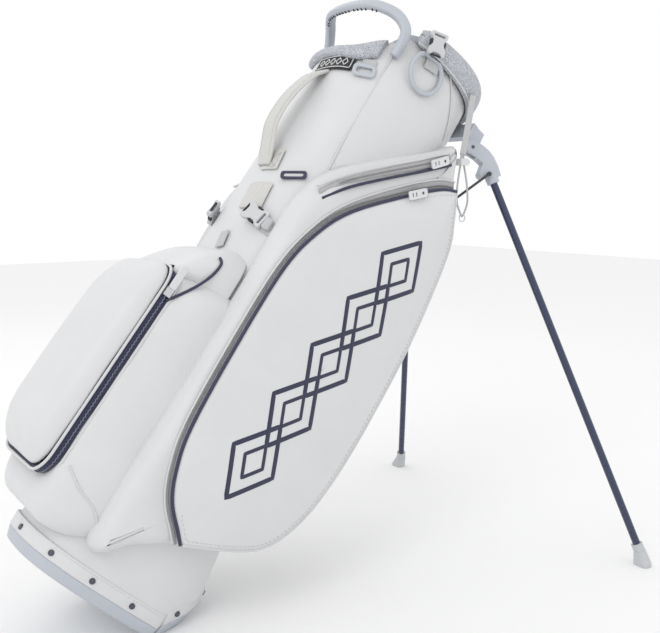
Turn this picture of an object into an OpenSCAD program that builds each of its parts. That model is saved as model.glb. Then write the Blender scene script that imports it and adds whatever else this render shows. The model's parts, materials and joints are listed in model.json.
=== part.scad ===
// Golf stand bag, leaning on its two deployed legs.
//
// Row frame: millimetres, +Z up, origin at the centre of the heel's flat face on the ground,
// +X towards the legs' feet, -Y is the side with the towel ring.
// Bag frame, inside lean(): x towards the legs, y across the bag, z up the bag's own axis.

/* [Stance] */
// Lean of the bag's axis from the vertical, in degrees
lean_angle = 38; // [37:0.5:39]
// Slope of the base's main face from square to the bag's axis, in degrees
base_pitch = 5; // [4:0.5:6]
// Distance from the bag's axis to the heel's hinge line
heel_hinge_x = 65; // [64:66]

/* [Body] */
// Height of the leg side of the rim over the base
rim_leg_side = 883; // [878:888]
// Height of the spine side of the rim over the base
rim_spine_side = 812; // [808:816]
// Thickness of the body's fabric wall
wall = 3; // [2.5:0.5:3.5]
// Height of the mesh pads that cover the rim
pad_height = 32; // [31:33]

/* [Base] */
// Height of the base moulding below the hem
base_height = 15; // [14:16]
// Height of the hem that is riveted round the base
hem_height = 22; // [20:24]

/* [Legs] */
// Diameter of a leg's tube
leg_d = 11.4; // [10.5:0.1:12]
// Length of a leg from its knuckle to the ground
leg_length = 625.6; // [625:0.1:626]
// Diameter of the black actuator rods
rod_d = 5; // [4.5:0.1:5]

/* [Hardware] */
// Outer diameter of the towel ring
towel_ring_d = 63; // [61:65]
// Diameter of the umbrella cord
cord_d = 3; // [2.6:0.1:3.2]

/* [Hidden] */

roundness = 2.8;           // how square the base is; 2 is an ellipse
around = 40;               // points round a cross-section
base_points = 56;          // points round the base
gap = 0.3;                 // clearance between pieces that don't touch
fit = 0.05;                // radial clearance of a running fit
big = 2000;

// One row per level of the tube: height, centre x, half depth, half width, squareness
body_levels = [
    [-60, -14, 103, 78, 2.8], [66, -14, 104, 80, 2.8], [140, -14, 106, 88, 2.8],
    [230, -15.5, 107, 91, 2.8], [490, -18, 108, 96, 2.8], [760, -22, 112, 100, 2.5], [900, -24, 114, 100, 2.15],
    [1000, -24, 114, 100, 2.15]
];
// The same for the lower skirt, which flares out over the base
skirt_levels = [
    [-60, -1, 131, 91, 2.8], [40, -1, 131, 91, 2.8], [66, 2, 128, 91, 2.8],
    [137, -3, 121, 92, 2.8], [230, -16, 110.5, 95, 2.8]
];

base_lift = 8;             // height of the base's underside over the bag frame's origin
heel_plate = 8;            // from the heel's hinge line to its flat face
heel_hinge_z = base_lift - heel_hinge_x * tan(base_pitch) + heel_plate / cos(base_pitch);
heel_rim = 16;             // height of the heel's moulding over the ground
heel_hem_top = 38;         // height of the heel's hem over the ground
rivet_up = 8;              // height of the rivets over the moulding
lip_height = 6;            // height of the narrower lip under the base moulding
skirt_wall = 1.8;
heel_slope = tan(lean_angle);
pitch_slope = tan(base_pitch);
ground_at_hinge = heel_hinge_z - heel_plate / cos(lean_angle);
bag_z = heel_hinge_x * sin(lean_angle) - ground_at_hinge * cos(lean_angle);
origin_ahead = 44;         // how far the origin lies ahead of the heel's hinge line
bag_x = -heel_hinge_x * cos(lean_angle) - ground_at_hinge * sin(lean_angle) - origin_ahead;

pivot = [107, 74, 829];    // a leg's hinge, in the bag frame, on the +Y side
hinge_turn = 22.96;        // how far the hinge axis is turned from +Y
fold_angle = 54.3;         // from the deployed leg to the folded leg
knuckle_w = 15;
ear_w = 6;
pin_d = 5;
tube_start = [57, 24];     // start of the tube's axis, in the hinge plane
leg_tilt = 90 - fold_angle;
rod_pos = [92, 66];        // an actuator rod's x and y, in the bag frame
rod_top = 655;
rod_bottom = 50;
link_hook = [41.6, 23];    // where a link reaches the knuckle, in the hinge plane
link_base = [-16.9, 174];  // where a link meets its rod, in the hinge plane
link_plane = -12;          // the links' plane along the hinge axis, outside the knuckle

side_face = 117.5;         // half width over the side pockets, under their panels
panel_depth = 11;
upper_zip_start = [46, 754];
upper_zip_end = [-92, 580];
lower_zip_start = [37, 690];
ring_bar = [-51, 104.5, 857];
ring_turn = 12;
door_x = -173;

function bag_point(v) = [
    bag_x + v.x * cos(lean_angle) + v.z * sin(lean_angle),
    v.y,
    bag_z - v.x * sin(lean_angle) + v.z * cos(lean_angle)
];
function mix(a, b, t) = a + (b - a) * t;
function ease(t) = let (c = min(1, max(0, t))) c * c * (3 - 2 * c);
function level_index(levels, z, i = 0) =
    i >= len(levels) - 2 || z < levels[i + 1][0] ? i : level_index(levels, z, i + 1);
function level_at(levels, z) =
    let (i = level_index(levels, z), a = levels[i], b = levels[i + 1])
    mix(a, b, min(1, max(0, (z - a[0]) / (b[0] - a[0]))));
function signed_pow(v, e) = v < 0 ? -pow(-v, e) : pow(v, e);
function oval(hx, hy, n, angle) =
    [hx * signed_pow(cos(angle), 2 / n), hy * signed_pow(sin(angle), 2 / n)];
function section_point(levels, z, angle, grow) =
    let (l = level_at(levels, z), p = oval(l[2] + grow, l[3] + grow, l[4], angle))
    [l[1] + p.x, p.y, z];
function body_point(z, angle, grow = 0) = section_point(body_levels, z, angle, grow);
function rim_z(x) = mix(rim_spine_side + 28 * ease((x + 138) / 28), rim_leg_side, ease((x + 114) / 26))
    + 0.13 * max(0, x + 90);
function pad_drop(x) = pad_height + (x - 10) * 0.09;
// A point at a distance out of the body's wall and up from the rim; the pads hang lower on the leg side
function rim_point(angle, out, up) =
    let (x = body_point(880, angle).x, reach = up < -24 ? pad_drop(x) / pad_height : 1)
    body_point(rim_z(x) + up * reach, angle, out);
function hem_z(x) = base_lift + base_height + gap - x * pitch_slope;
function ground_z(x) = ground_at_hinge + (x - heel_hinge_x) * heel_slope;
function skirt_z(x) = max(hem_z(x), ground_z(x) + (heel_hem_top + 1) / cos(lean_angle));

// A smooth curve through points, with steps points to each stretch
function curve_point(a, b, c, d, t) = 0.5 * ((2 * b) + (c - a) * t
    + (2 * a - 5 * b + 4 * c - d) * t * t + (3 * b - a - 3 * c + d) * t * t * t);
function smooth(points, steps) = let (n = len(points) - 1) concat(
    [for (i = [0:n - 1], s = [0:steps - 1]) curve_point(
        points[max(0, i - 1)], points[i], points[i + 1], points[min(n, i + 2)], s / steps)],
    [points[n]]);

// Sweeping: rings of equal length joined into one closed solid
function ring_faces(count, size, loop) = [
    for (i = [0:count - (loop ? 1 : 2)], j = [0:size - 1], half = [0, 1])
        let (a = i * size, b = ((i + 1) % count) * size, k = (j + 1) % size)
        half == 0 ? [a + j, b + j, b + k] : [a + j, b + k, a + k]
];
module skin(rings, loop = false) {
    count = len(rings);
    size = len(rings[0]);
    ends = loop ? [] : [
        [for (j = [0:size - 1]) j],
        [for (j = [size - 1:-1:0]) (count - 1) * size + j]
    ];
    polyhedron(points = [for (r = rings, p = r) p], faces = concat(ends, ring_faces(count, size, loop)));
}
function unit(v) = v / norm(v);
function tangent(path, i) = unit(path[min(len(path) - 1, i + 1)] - path[max(0, i - 1)]);
function bar_ring(path, i, across, width, height, n, sides) =
    let (side = unit(across - (across * tangent(path, i)) * tangent(path, i)),
        up = cross(side, tangent(path, i)))
    [for (j = [0:sides - 1]) let (p = oval(width / 2, height / 2, n, 360 * j / sides))
        path[i] + side * p.x + up * p.y];
module bar(path, across, width, height, n = 2, sides = 12) {
    skin([for (i = [len(path) - 1:-1:0]) bar_ring(path, i, across, width, height, n, sides)]);
}

module lean() {
    translate([bag_x, 0, bag_z]) rotate([0, lean_angle, 0]) children();
}
module mirrored_pair() {
    children();
    mirror([0, 1, 0]) children();
}
module rod_between(a, b, d) {
    v = b - a;
    translate(a) rotate([0, acos(v.z / norm(v)), atan2(v.y, v.x)]) cylinder(d = d, h = norm(v), $fn = 32);
}
// A plane shape drawn in x and z, from y = low to y = high
module side_slab(low, high) {
    translate([0, high, 0]) rotate([90, 0, 0]) linear_extrude(high - low) children();
}
wall_levels = [66, 140, 230, 490, 760];
// The body's outer surface as one solid, grown a little
module body_solid(grow = 0) {
    skin([for (z = concat([30], wall_levels, [940])) [for (i = [0:around - 1])
        body_point(z, 360 * i / around, grow)]]);
}
// The skirt's outer surface as one solid, with a little clearance
module skirt_block() {
    skin([for (z = [-20, 40, 66, 137, 231]) [for (i = [0:around - 1])
        section_point(skirt_levels, z, 360 * i / around, skirt_wall + 1.2)]]);
}
// Places a small piece on the body's wall: its x is then out of the wall, its z up the bag
module on_wall(angle, z, out = gap) {
    p = body_point(z, angle);
    a = body_point(z, angle - 1);
    b = body_point(z, angle + 1);
    translate(p) rotate([0, 0, atan2(b.y - a.y, b.x - a.x) - 90]) translate([out, 0, 0]) children();
}
module plate(thick, width, height, turn = 0) {
    rotate([turn, 0, 0]) translate([0, -width / 2, -height / 2]) cube([thick, width, height]);
}

// ---- Base

module oval_outline(hx, hy, cx = 0) {
    polygon([for (i = [0:base_points - 1]) let (p = oval(hx, hy, roundness, 360 * i / base_points))
        [p.x + cx, p.y]]);
}
module base_block(hx, hy) {
    translate([0, 0, -60]) linear_extrude(260) oval_outline(hx, hy, -1);
}
// Everything between two heights over the base's main face
module main_layer(low, high) {
    translate([0, 0, base_lift]) rotate([0, base_pitch, 0]) translate([-big / 2, -big / 2, low])
        cube([big, big, high - low]);
}
// Everything between two heights over the ground
module ground_layer(low, high) {
    translate([heel_hinge_x, 0, ground_at_hinge]) rotate([0, -lean_angle, 0])
        translate([-big / 2, -big / 2, low]) cube([big, big, high - low]);
}
module behind(x) {
    translate([x - big, -big / 2, -big / 2]) cube([big, big, big]);
}
module ahead(x) {
    translate([x, -big / 2, -big / 2]) cube([big, big, big]);
}
module base_tray() {
    color("#c3c8d0") lean() {
        difference() {
            intersection() {
                union() {
                    base_block(125, 85);
                    intersection() {
                        base_block(127, 86);
                        main_layer(0, base_height);
                    }
                }
                main_layer(0, base_height + hem_height / 2);
                behind(heel_hinge_x - 2);
            }
            intersection() {
                base_block(122, 82);
                main_layer(5, 100);
            }
            translate([heel_hinge_x, 0, heel_hinge_z]) rotate([90, 0, 0])
                cylinder(r = 9, h = 300, center = true, $fn = 48);
        }
        difference() {
            intersection() {
                main_layer(lip_height, base_height);
                behind(heel_hinge_x - 2);
                difference() {
                    base_block(131, 91);
                    base_block(126, 85.5);
                }
            }
            translate([heel_hinge_x, 0, heel_hinge_z]) rotate([90, 0, 0])
                cylinder(r = 9, h = 300, center = true, $fn = 48);
        }
        mirrored_pair() difference() {
            union() {
                translate([heel_hinge_x, 74, heel_hinge_z]) rotate([90, 0, 0]) cylinder(d = 12, h = 8, $fn = 48);
                translate([heel_hinge_x - 16, 66, heel_hinge_z - 6]) cube([15, 8, 12]);
            }
            translate([heel_hinge_x, 80, heel_hinge_z]) rotate([90, 0, 0])
                cylinder(r = 2 + fit, h = 20, $fn = 32);
        }
    }
}
module heel_pin() {
    color("#8a8d92") lean() translate([heel_hinge_x, 0, heel_hinge_z]) rotate([90, 0, 0])
        cylinder(r = 2, h = 150, center = true, $fn = 32);
}
module base_heel() {
    color("#c3c8d0") lean() {
        difference() {
            union() {
                intersection() {
                    base_block(127, 86);
                    ground_layer(0, heel_plate);
                    ahead(heel_hinge_x + 8);
                }
                translate([heel_hinge_x, 0, heel_hinge_z]) rotate([90, 0, 0])
                    cylinder(d = 12, h = 128, center = true, $fn = 48);
                intersection() {
                    translate([heel_hinge_x, -64, -20]) cube([10, 128, 60]);
                    ground_layer(2, heel_plate + 2);
                }
            }
            translate([heel_hinge_x, 0, heel_hinge_z]) rotate([90, 0, 0])
                cylinder(r = 2 + fit, h = 140, center = true, $fn = 32);
        }
        intersection() {
            difference() {
                base_block(131, 91);
                intersection() {
                    base_block(127, 87);
                    ground_layer(heel_plate, 100);
                }
            }
            ground_layer(lip_height - 1, heel_rim);
            ahead(heel_hinge_x + 8);
        }
    }
}
module heel_hem() {
    color("#e6e6e6") lean() intersection() {
        difference() {
            base_block(131, 91);
            base_block(129.2, 89.2);
        }
        ground_layer(heel_rim + gap, heel_hem_top);
        ahead(heel_hinge_x + 16);
    }
}
module rivet_at(angle, z) {
    p = oval(131, 91, roundness, angle);
    q = oval(131, 91, roundness, angle + 1);
    translate([p.x - 1, p.y, z]) rotate([0, 90, atan2(q.y - p.y, q.x - p.x) - 90])
        translate([0, 0, -1]) cylinder(d1 = 9, d2 = 7, h = 4, $fn = 20);
}
module base_rivets() {
    color("#3a3c42") lean() for (angle = [88, 106, 139, 182, 221, 254, 272]) {
        x = oval(131, 91, roundness, angle).x - 1;
        rivet_at(angle, hem_z(x) + rivet_up);
    }
}
module heel_rivets() {
    color("#3a3c42") lean() for (angle = [-59, -22, 22, 59]) {
        x = oval(131, 91, roundness, angle).x - 1;
        rivet_at(angle, ground_z(x) + (heel_rim + rivet_up + 1) / cos(lean_angle));
    }
}

// ---- Body

function skirt_ring(t, grow) = [for (i = [0:around - 1])
    let (angle = 360 * i / around, x0 = section_point(skirt_levels, 40, angle, 0).x,
        low = skirt_z(x0), z = mix(low, 230, t))
    section_point(skirt_levels, z, angle, grow)];
module hem_skirt() {
    color("#e6e6e6") lean() difference() {
        skirt_tube();
        mirrored_pair() translate([rod_pos.x, rod_pos.y, 100]) cylinder(d = rod_d + 4, h = 150, $fn = 24);
    }
}
module skirt_tube() {
    skin(concat(
        [for (t = [0, 0.12, 0.3, 0.6, 1]) skirt_ring(t, skirt_wall)],
        [for (t = [1, 0.6, 0.3, 0.12, 0]) skirt_ring(t, 0)]), true);
}
function shell_bottom(x) = max(36, ground_z(x) + 32);
function shell_top(x) = rim_z(x) - 1 - (x < spine_end ? spine_drop : pad_drop(x));
function shell_ring(place, grow) = [for (i = [0:around - 1])
    let (angle = 360 * i / around, x = body_point(880, angle).x,
        z = place == "bottom" ? shell_bottom(x) : place == "top" ? shell_top(x) : place)
    body_point(z, angle, grow)];
module body_shell() {
    color("#e8e8e8") lean() {
        places = concat(["bottom"], wall_levels, ["top"]);
        last = len(places) - 1;
        skin(concat(
            [for (place = places) shell_ring(place, 0)],
            [for (i = [last:-1:0]) shell_ring(places[i], -wall)]), true);
    }
}
module stay_rods() {
    color("#9a9ca0") lean() for (angle = [38, 142, 218, 322]) {
        rod_between(body_point(60, angle, -wall - 5), body_point(750, angle, -wall - 5), 5);
    }
}
module club_divider() {
    color("#d6d7da") lean() intersection() {
        union() {
            translate([-20, 0, 440]) cube([218, 1.6, 760], center = true);
            translate([-28, 0, 440]) cube([1.6, 190, 760], center = true);
        }
        skin([for (z = [55, 140, 490, 760, 900]) [for (i = [0:around - 1])
            body_point(z, 360 * i / around, -wall - 9)]]);
        rotate([0, -10, 0]) translate([0, 0, -big / 2 + 800]) cube([big, big, big], center = true);
    }
}

// ---- Collar

module rim_band(profile, from, to, steps, loop = false) {
    skin([for (i = [0:(loop ? steps - 1 : steps)]) let (angle = mix(from, to, i / steps))
        [for (p = profile) rim_point(angle, p.x, p.y)]], loop);
}
module collar_ring() {
    color("#c3c8d0") lean()
        rim_band([[-8, -44], [-8, -8], [-wall - gap, -8], [-wall - gap, -44]], 0, 360, around, true);
}
pad_profile = [
    [-14, -20], [-14, -4], [-8, 2], [0, 4], [7, 2], [11, -5], [11.5, -20], [8, 1 - pad_height],
    [0.6, 1 - pad_height], [-2, -7], [-9, -7], [-11, -20]
];
spine_drop = 13;           // how far the spine pad hangs below the rim
spine_profile = [
    [-14, -14], [-14, -4], [-8, 2], [0, 4], [6, 2], [9, -4], [9, 1 - spine_drop], [0.6, 1 - spine_drop],
    [-2, -7], [-9, -7], [-11, -14]
];
spine_end = -100;          // the body's wall reaches up to the spine pad behind this x
module spine_pad() {
    color("#c9ccd3") lean() rim_band(spine_profile, 144, 216, 8);
}
module rim_pad() {
    color("#c9ccd3") lean() rim_band(pad_profile, -117, 117, 26);
}
handle_half = [[-90, 92, 812], [-97, 100, 836], [-102, 99, 866], [-120, 86, 880], [-142, 62, 879],
    [-154, 36, 874], [-158, 0, 872]];
module carry_handle() {
    path = smooth(concat(handle_half, [for (i = [5:-1:0]) [handle_half[i].x, -handle_half[i].y,
        handle_half[i].z]]), 3);
    color("#c8ced6") lean() difference() {
        bar(path, [0.35, 0, 1], 17, 15, 3.2, 12);
        body_solid(gap);
    }
}

// ---- Leg hinges

// Turns a shape drawn in the hinge plane, x out and y down, into place on the -Y side
module hinge_frame() {
    translate([pivot.x, -pivot.y, pivot.z]) rotate([0, 0, -hinge_turn]) rotate([-90, 0, 0]) children();
}
module hinge_bracket() {
    color("#c3c8d0") lean() {
        translate([90 + gap, -72, 838]) cube([9, 144, 26]);
        mirrored_pair() hinge_frame() difference() {
            translate([0, 0, -ear_w / 2]) linear_extrude(ear_w) {
                circle(r = 9, $fn = 48);
                polygon([[-9, 0], [9, 0], [6, -30], [-14, -34], [-24, -32], [-24, -18]]);
            }
            translate([0, 0, -20]) cylinder(d = pin_d + 2 * fit, h = 40, $fn = 32);
        }
    }
}
module hinge_pins() {
    color("#3a3c42") lean() mirrored_pair() hinge_frame()
        translate([0, 0, -knuckle_w / 2 - 1]) cylinder(d = pin_d, h = knuckle_w + 2, $fn = 32);
}
module knuckle_profile() {
    circle(r = 11, $fn = 48);
    polygon([[0, -11], [12, -12], [24, -11], [36, -7], [49, 1], [60, 11], [50, 28], [38, 18], [28, 12],
        [14, 10], [0, 11]]);
    polygon([[26, 10], [44, 20], [41, 27], [29, 27]]);
    translate([35, 25]) circle(r = 6.5, $fn = 32);
}
module along_tube() {
    translate([tube_start.x, tube_start.y, 0]) rotate([0, 0, leg_tilt]) rotate([0, 90, 0]) children();
}
module knuckle() {
    color("#c8ced6") lean() hinge_frame() difference() {
        union() {
            translate([0, 0, -knuckle_w / 2]) linear_extrude(knuckle_w) knuckle_profile();
            along_tube() translate([0, 0, -12]) cylinder(d = 19, h = 14, $fn = 48);
        }
        translate([0, 0, -ear_w / 2 - 0.4]) cylinder(r = 16, h = ear_w + 0.8, $fn = 64);
        translate([0, 0, -20]) cylinder(d = pin_d + 2 * fit, h = 40, $fn = 32);
        along_tube() translate([0, 0, -20]) cylinder(d = leg_d, h = 60, $fn = 48);
    }
}
module leg_tube() {
    color("#343a56") lean() hinge_frame() along_tube() difference() {
        translate([0, 0, -19]) cylinder(d = leg_d, h = leg_length - 5, $fn = 48);
        translate([0, 0, -20]) cylinder(d = leg_d - 2.4, h = leg_length, $fn = 48);
    }
}
module foot() {
    color("#cfd2d6") difference() {
        union() {
            lean() hinge_frame() along_tube()
                translate([0, 0, leg_length - 34]) cylinder(d = 17, h = 16, $fn = 48);
            hull() {
                lean() hinge_frame() along_tube()
                    translate([0, 0, leg_length - 22]) cylinder(d = 18, h = 2, $fn = 32);
                intersection() {
                    translate([foot_point.x - 6, foot_point.y, 0]) cylinder(d = 26, h = 5, $fn = 32);
                    translate([foot_point.x, foot_point.y, 5]) cube([30, 30, 10], center = true);
                }
            }
        }
        lean() hinge_frame() along_tube() cylinder(d = leg_d, h = leg_length - 23.9, $fn = 48);
    }
}
foot_dir = [cos(leg_tilt), sin(leg_tilt)];
foot_plane = tube_start + leg_length * foot_dir;
foot_point = bag_point([
    pivot.x + foot_plane.x * cos(hinge_turn),
    -pivot.y - foot_plane.x * sin(hinge_turn),
    pivot.z - foot_plane.y
]);

module knuckle_right() knuckle();
module knuckle_left() mirror([0, 1, 0]) knuckle();
module leg_tube_right() leg_tube();
module leg_tube_left() mirror([0, 1, 0]) leg_tube();
module foot_right() foot();
module foot_left() mirror([0, 1, 0]) foot();

// ---- Actuator

module actuator_frame() {
    color("#22242a") lean() {
        mirrored_pair() {
            translate([rod_pos.x, -rod_pos.y, rod_bottom]) cylinder(d = rod_d, h = rod_top - rod_bottom, $fn = 32);
            translate([rod_pos.x, -rod_pos.y, rod_bottom]) sphere(d = rod_d, $fn = 16);
            hinge_frame() translate([link_base.x, link_base.y, link_plane + 3]) {
                cylinder(d = 3, h = 14, $fn = 24);
                translate([0, 0, -6]) cylinder(d = 3, h = 6, $fn = 24);
            }
        }
        translate([rod_pos.x, 0, rod_bottom]) rotate([90, 0, 0])
            cylinder(d = rod_d, h = 2 * rod_pos.y, center = true, $fn = 32);
    }
}
module actuator_link() {
    v = link_hook - link_base;
    color("#22242a") lean() hinge_frame() difference() {
        union() {
            translate([link_base.x, link_base.y, link_plane]) rotate([0, 0, atan2(v.y, v.x)])
                rotate([0, 90, 0]) cylinder(d = 4, h = norm(v), $fn = 32);
            translate([link_base.x, link_base.y, link_plane - 2]) cylinder(d = 8, h = 4, $fn = 32);
            translate([link_hook.x, link_hook.y, link_plane - 2]) cylinder(d = 7, h = 4, $fn = 32);
        }
        translate([link_base.x, link_base.y, link_plane - 5]) cylinder(d = 3 + 2 * fit, h = 10, $fn = 24);
    }
}
module actuator_link_right() actuator_link();
module actuator_link_left() mirror([0, 1, 0]) actuator_link();
module rod_guides() {
    color("#9a9ca0") lean() mirrored_pair() for (z = [250, 420, 590]) difference() {
        union() {
            translate([rod_pos.x, -rod_pos.y, z]) cylinder(d = 10, h = 30, $fn = 24);
            translate([62, -rod_pos.y - 3, z]) cube([rod_pos.x - 62 - 3.5, 6, 30]);
        }
        translate([rod_pos.x, -rod_pos.y, z - 1]) cylinder(d = rod_d + 2 * fit, h = 32, $fn = 24);
        body_solid(gap);
    }
}

// ---- Side pockets

side_outline = [[-87, 84], [-40, 99], [5, 120], [78, 147], [122, 172], [150, 225], [163, 300], [164, 400],
    [158, 520], [136, 650], [98, 730], [62, 788], [42, 770], [-36, 684], [-97, 590], [-91, 300]];
leg_passes = 338;          // the pocket's inner side ends here, measured from x = -200, so the leg swings by
module side_shape(inset) {
    offset(delta = -inset) polygon(side_outline);
}
module side_pocket() {
    color("#e8e8e8") lean() difference() {
        hull() {
            side_slab(-81, -80) intersection() {
                side_shape(0);
                translate([-200, 0]) square([265, 1000]);
            }
            side_slab(-98, -97) intersection() {
                side_shape(0);
                translate([-200, 0]) square([leg_passes, 1000]);
            }
            side_slab(-109, -108) side_shape(.5);
            side_slab(-112, -111) side_shape(2);
            side_slab(-side_face, -side_face + 1) side_shape(15);
        }
        body_solid(gap);
        skirt_block();
    }
}
leaf_front = [[88, 730], [62, 713], [12, 660], [-42, 594], [-68, 540], [-81, 475], [-79, 360], [-71, 250],
    [-57, 198], [-38, 163], [-10, 137], [4, 124]];
leaf_rear = [[78, 150], [120, 177], [146, 228], [158, 300], [159, 400], [152, 520], [131, 648],
    [108, 698], [88, 730]];
leaf_outline = concat(smooth(leaf_front, 4), smooth(leaf_rear, 4));
module side_panel() {
    color("#e8e8e8") lean() side_slab(-side_face - panel_depth, -side_face - gap) polygon(leaf_outline);
}
function shifted(points, step) = [for (i = [0:len(points) - 1])
    let (d = unit(points[min(len(points) - 1, i + 1)] - points[max(0, i - 1)]))
    points[i] + step * [d.y, -d.x]];
upper_piping = [[46, 735], [-24, 651], [-98, 556]];
function side_path(points, y) = [for (p = points) [p.x, y, p.y]];
module side_piping() {
    color("#2b2e47") lean() {
        bar(side_path(shifted(smooth(leaf_front, 3), 2.4), -side_face - 8), [0, 1, 0], 4, 4, 2, 8);
        bar(side_path(upper_piping, -side_face - 2.4), [0, 1, 0], 3.6, 3.6, 2, 8);
    }
}
module side_zip_tape() {
    color("#b0b0b0") lean() {
        bar(side_path(shifted(smooth(leaf_front, 3), 9.5), -side_face - 1.4), [0, 1, 0], 2, 9, 4, 8);
        bar(side_path([upper_zip_start, [-22, 672], upper_zip_end], -side_face - 1.4), [0, 1, 0], 2, 14, 4, 8);
    }
}
module side_pocket_right() side_pocket();
module side_pocket_left() mirror([0, 1, 0]) side_pocket();
module side_panel_right() side_panel();
module side_panel_left() mirror([0, 1, 0]) side_panel();
module side_zip_tape_right() side_zip_tape();
module side_zip_tape_left() mirror([0, 1, 0]) side_zip_tape();
module side_piping_right() side_piping();
module side_piping_left() mirror([0, 1, 0]) side_piping();

// ---- Ball pocket and valuables pocket

module rounded(width, low, high, r) {
    translate([0, (low + high) / 2]) offset(r = r, $fn = 24) square([width - 2 * r, high - low - 2 * r], center = true);
}
// A plane shape drawn in y and z, one millimetre thick, at x
module front_slab(x) {
    translate([x, 0, 0]) rotate([90, 0, 90]) linear_extrude(1) children();
}
module ball_pocket() {
    color("#e8e8e8") lean() difference() {
        hull() {
            front_slab(-94.5) rounded(188, 84, 400, 20);
            front_slab(-150) rounded(180, 66, 408, 24);
            front_slab(-171) rounded(156, 116, 404, 26);
        }
        body_solid(gap);
        skirt_block();
    }
}
module ball_pocket_door() {
    color("#ececec") lean() hull() {
        front_slab(door_x - 6) rounded(152, 120, 400, 26);
        front_slab(door_x - 30) rounded(150, 118, 402, 30);
        front_slab(door_x - 44) rounded(118, 158, 362, 30);
    }
}
module ball_zip_band() {
    color("#2b2e47") lean() translate([door_x - 4.5, 0, 0]) rotate([90, 0, 90]) linear_extrude(6)
        difference() {
            rounded(157, 115.5, 405, 27);
            rounded(145, 121.5, 399, 22);
        }
}
module valuables_pocket() {
    color("#e8e8e8") lean() difference() {
        hull() {
            front_slab(-120) rounded(166, 409, 470, 26);
            front_slab(-148) rounded(150, 409, 450, 18);
            front_slab(-176) rounded(124, 409, 418, 4);
        }
        body_solid(gap);
    }
}

// ---- Webbing, patches and straps

strap_path = smooth([[-136, 0, 770], [-148, 0, 750], [-158, 0, 706], [-157, 0, 662], [-144, 0, 630],
    [-132, 0, 606]], 3);
module grab_handle() {
    color("#cccbc7") lean() translate([0, -8, 0]) difference() {
        bar(strap_path, [0, 1, 0], 36, 6, 4, 12);
        translate([0, 8, 0]) body_solid(gap);
    }
}
module label_patch() {
    color("#1b1c20") lean() on_wall(-172, 785.5, 0.6) plate(1.6, 68, 22, 4);
}
module glove_patch() {
    color("#cccbc7") lean() on_wall(-169, 560, 1.4) plate(1.4, 46, 40, 4);
}
module slot_badge() {
    color("#2b2e47") lean() on_wall(-144, 600, 0.6) difference() {
        plate(3, 32, 11, 25);
        translate([1.5, 0, 0]) plate(3, 24, 4, 25);
    }
}
module accessory_loop() {
    color("#c8ced6") lean() on_wall(-138, 779, 0.6) difference() {
        plate(4, 32, 19, 14);
        translate([-1, 0, 0]) plate(8, 23, 8.5, 14);
    }
}
module strap_webbing() {
    color("#b9babb") lean() {
        on_wall(-134, 520, 0.6) plate(1.6, 16, 20);
        on_wall(134, 520, 0.6) plate(1.6, 16, 20);
        on_wall(-174, 484, 1.2) plate(1.6, 16, 26, 20);
        on_wall(-98, 846, 0.6) plate(1.4, 24, 14, 12);
    }
}
module seam_tab() {
    color("#b9babb") lean() translate([163.2, -112, 384]) cube([8, 2, 28]);
}
module hip_pad() {
    color("#d6d7da") lean() hull() {
        front_slab(92.2) rounded(92, 300, 640, 20);
        front_slab(105) rounded(80, 308, 632, 20);
    }
}

// ---- Towel ring

module ring_frame() {
    translate([ring_bar.x, -ring_bar.y, ring_bar.z]) rotate([0, -ring_turn, 0]) children();
}
module towel_ring() {
    r = towel_ring_d / 2;
    color("#c8ced6") lean() ring_frame() difference() {
        translate([0, 0, 8 - r]) rotate([90, 0, 0]) rotate_extrude($fn = 48) translate([r - 3.5, 0])
            circle(d = 6.4, $fn = 14);
        translate([-big / 2, -big / 2, 1]) cube([big, big, big]);
    }
    color("#c8ced6") lean() ring_frame() translate([-14, 0, 0]) rotate([0, 90, 0])
        cylinder(d = 4.4, h = 28, $fn = 24);
}

// ---- Umbrella loop

cord_top = [454, -104, 613];   // where the cord leaves its webbing, in the row frame
webbing_tilt = 12.5;
// The route of the elastic cord from its top: down, round the bottom of the loop and back
cord_route = [
    [-2, 0, 3], [-3, 0, -10], [-6, 0, -26], [-9, 0, -46], [-9, 0, -66], [-6, -3, -80], [-2, -3, -86],
    [2, 0, -87.5], [6, 3, -86], [10, 3, -80], [12, 0, -66], [11, 0, -46], [7, 0, -26], [3, 0, -10], [2, 0, 3]
];
module umbrella_cord() {
    color("#b9babb") translate(cord_top) bar(cord_route, [0, 1, 0], cord_d, cord_d, 2, 8);
}
module umbrella_webbing() {
    color("#b9babb") translate(cord_top) rotate([0, webbing_tilt, 0]) translate([-6, -1, 3.5]) cube([12, 2, 86]);
}
module cord_lock() {
    color("#e4e5e6") translate(cord_top + [-7.5, -6, -13]) difference() {
        cube([15, 12, 10]);
        translate([2, 3.5, -1]) cube([11, 5, 12]);
        translate([12, 6, 5]) rotate([0, 90, 0]) cylinder(d = 6.4, h = 6, $fn = 32);
    }
}
module cord_lock_button() {
    color("#d0d1d3") translate(cord_top + [6.6, 0, -8]) rotate([0, 90, 0]) cylinder(d = 6, h = 6, $fn = 32);
}
module cord_ring() {
    color("#c9cacc") translate(cord_top + [2, 0, -89.7]) rotate([90, 0, 0]) rotate_extrude($fn = 28)
        translate([5.5, 0]) circle(d = 1.6, $fn = 10);
}

// ---- Buckles

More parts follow.
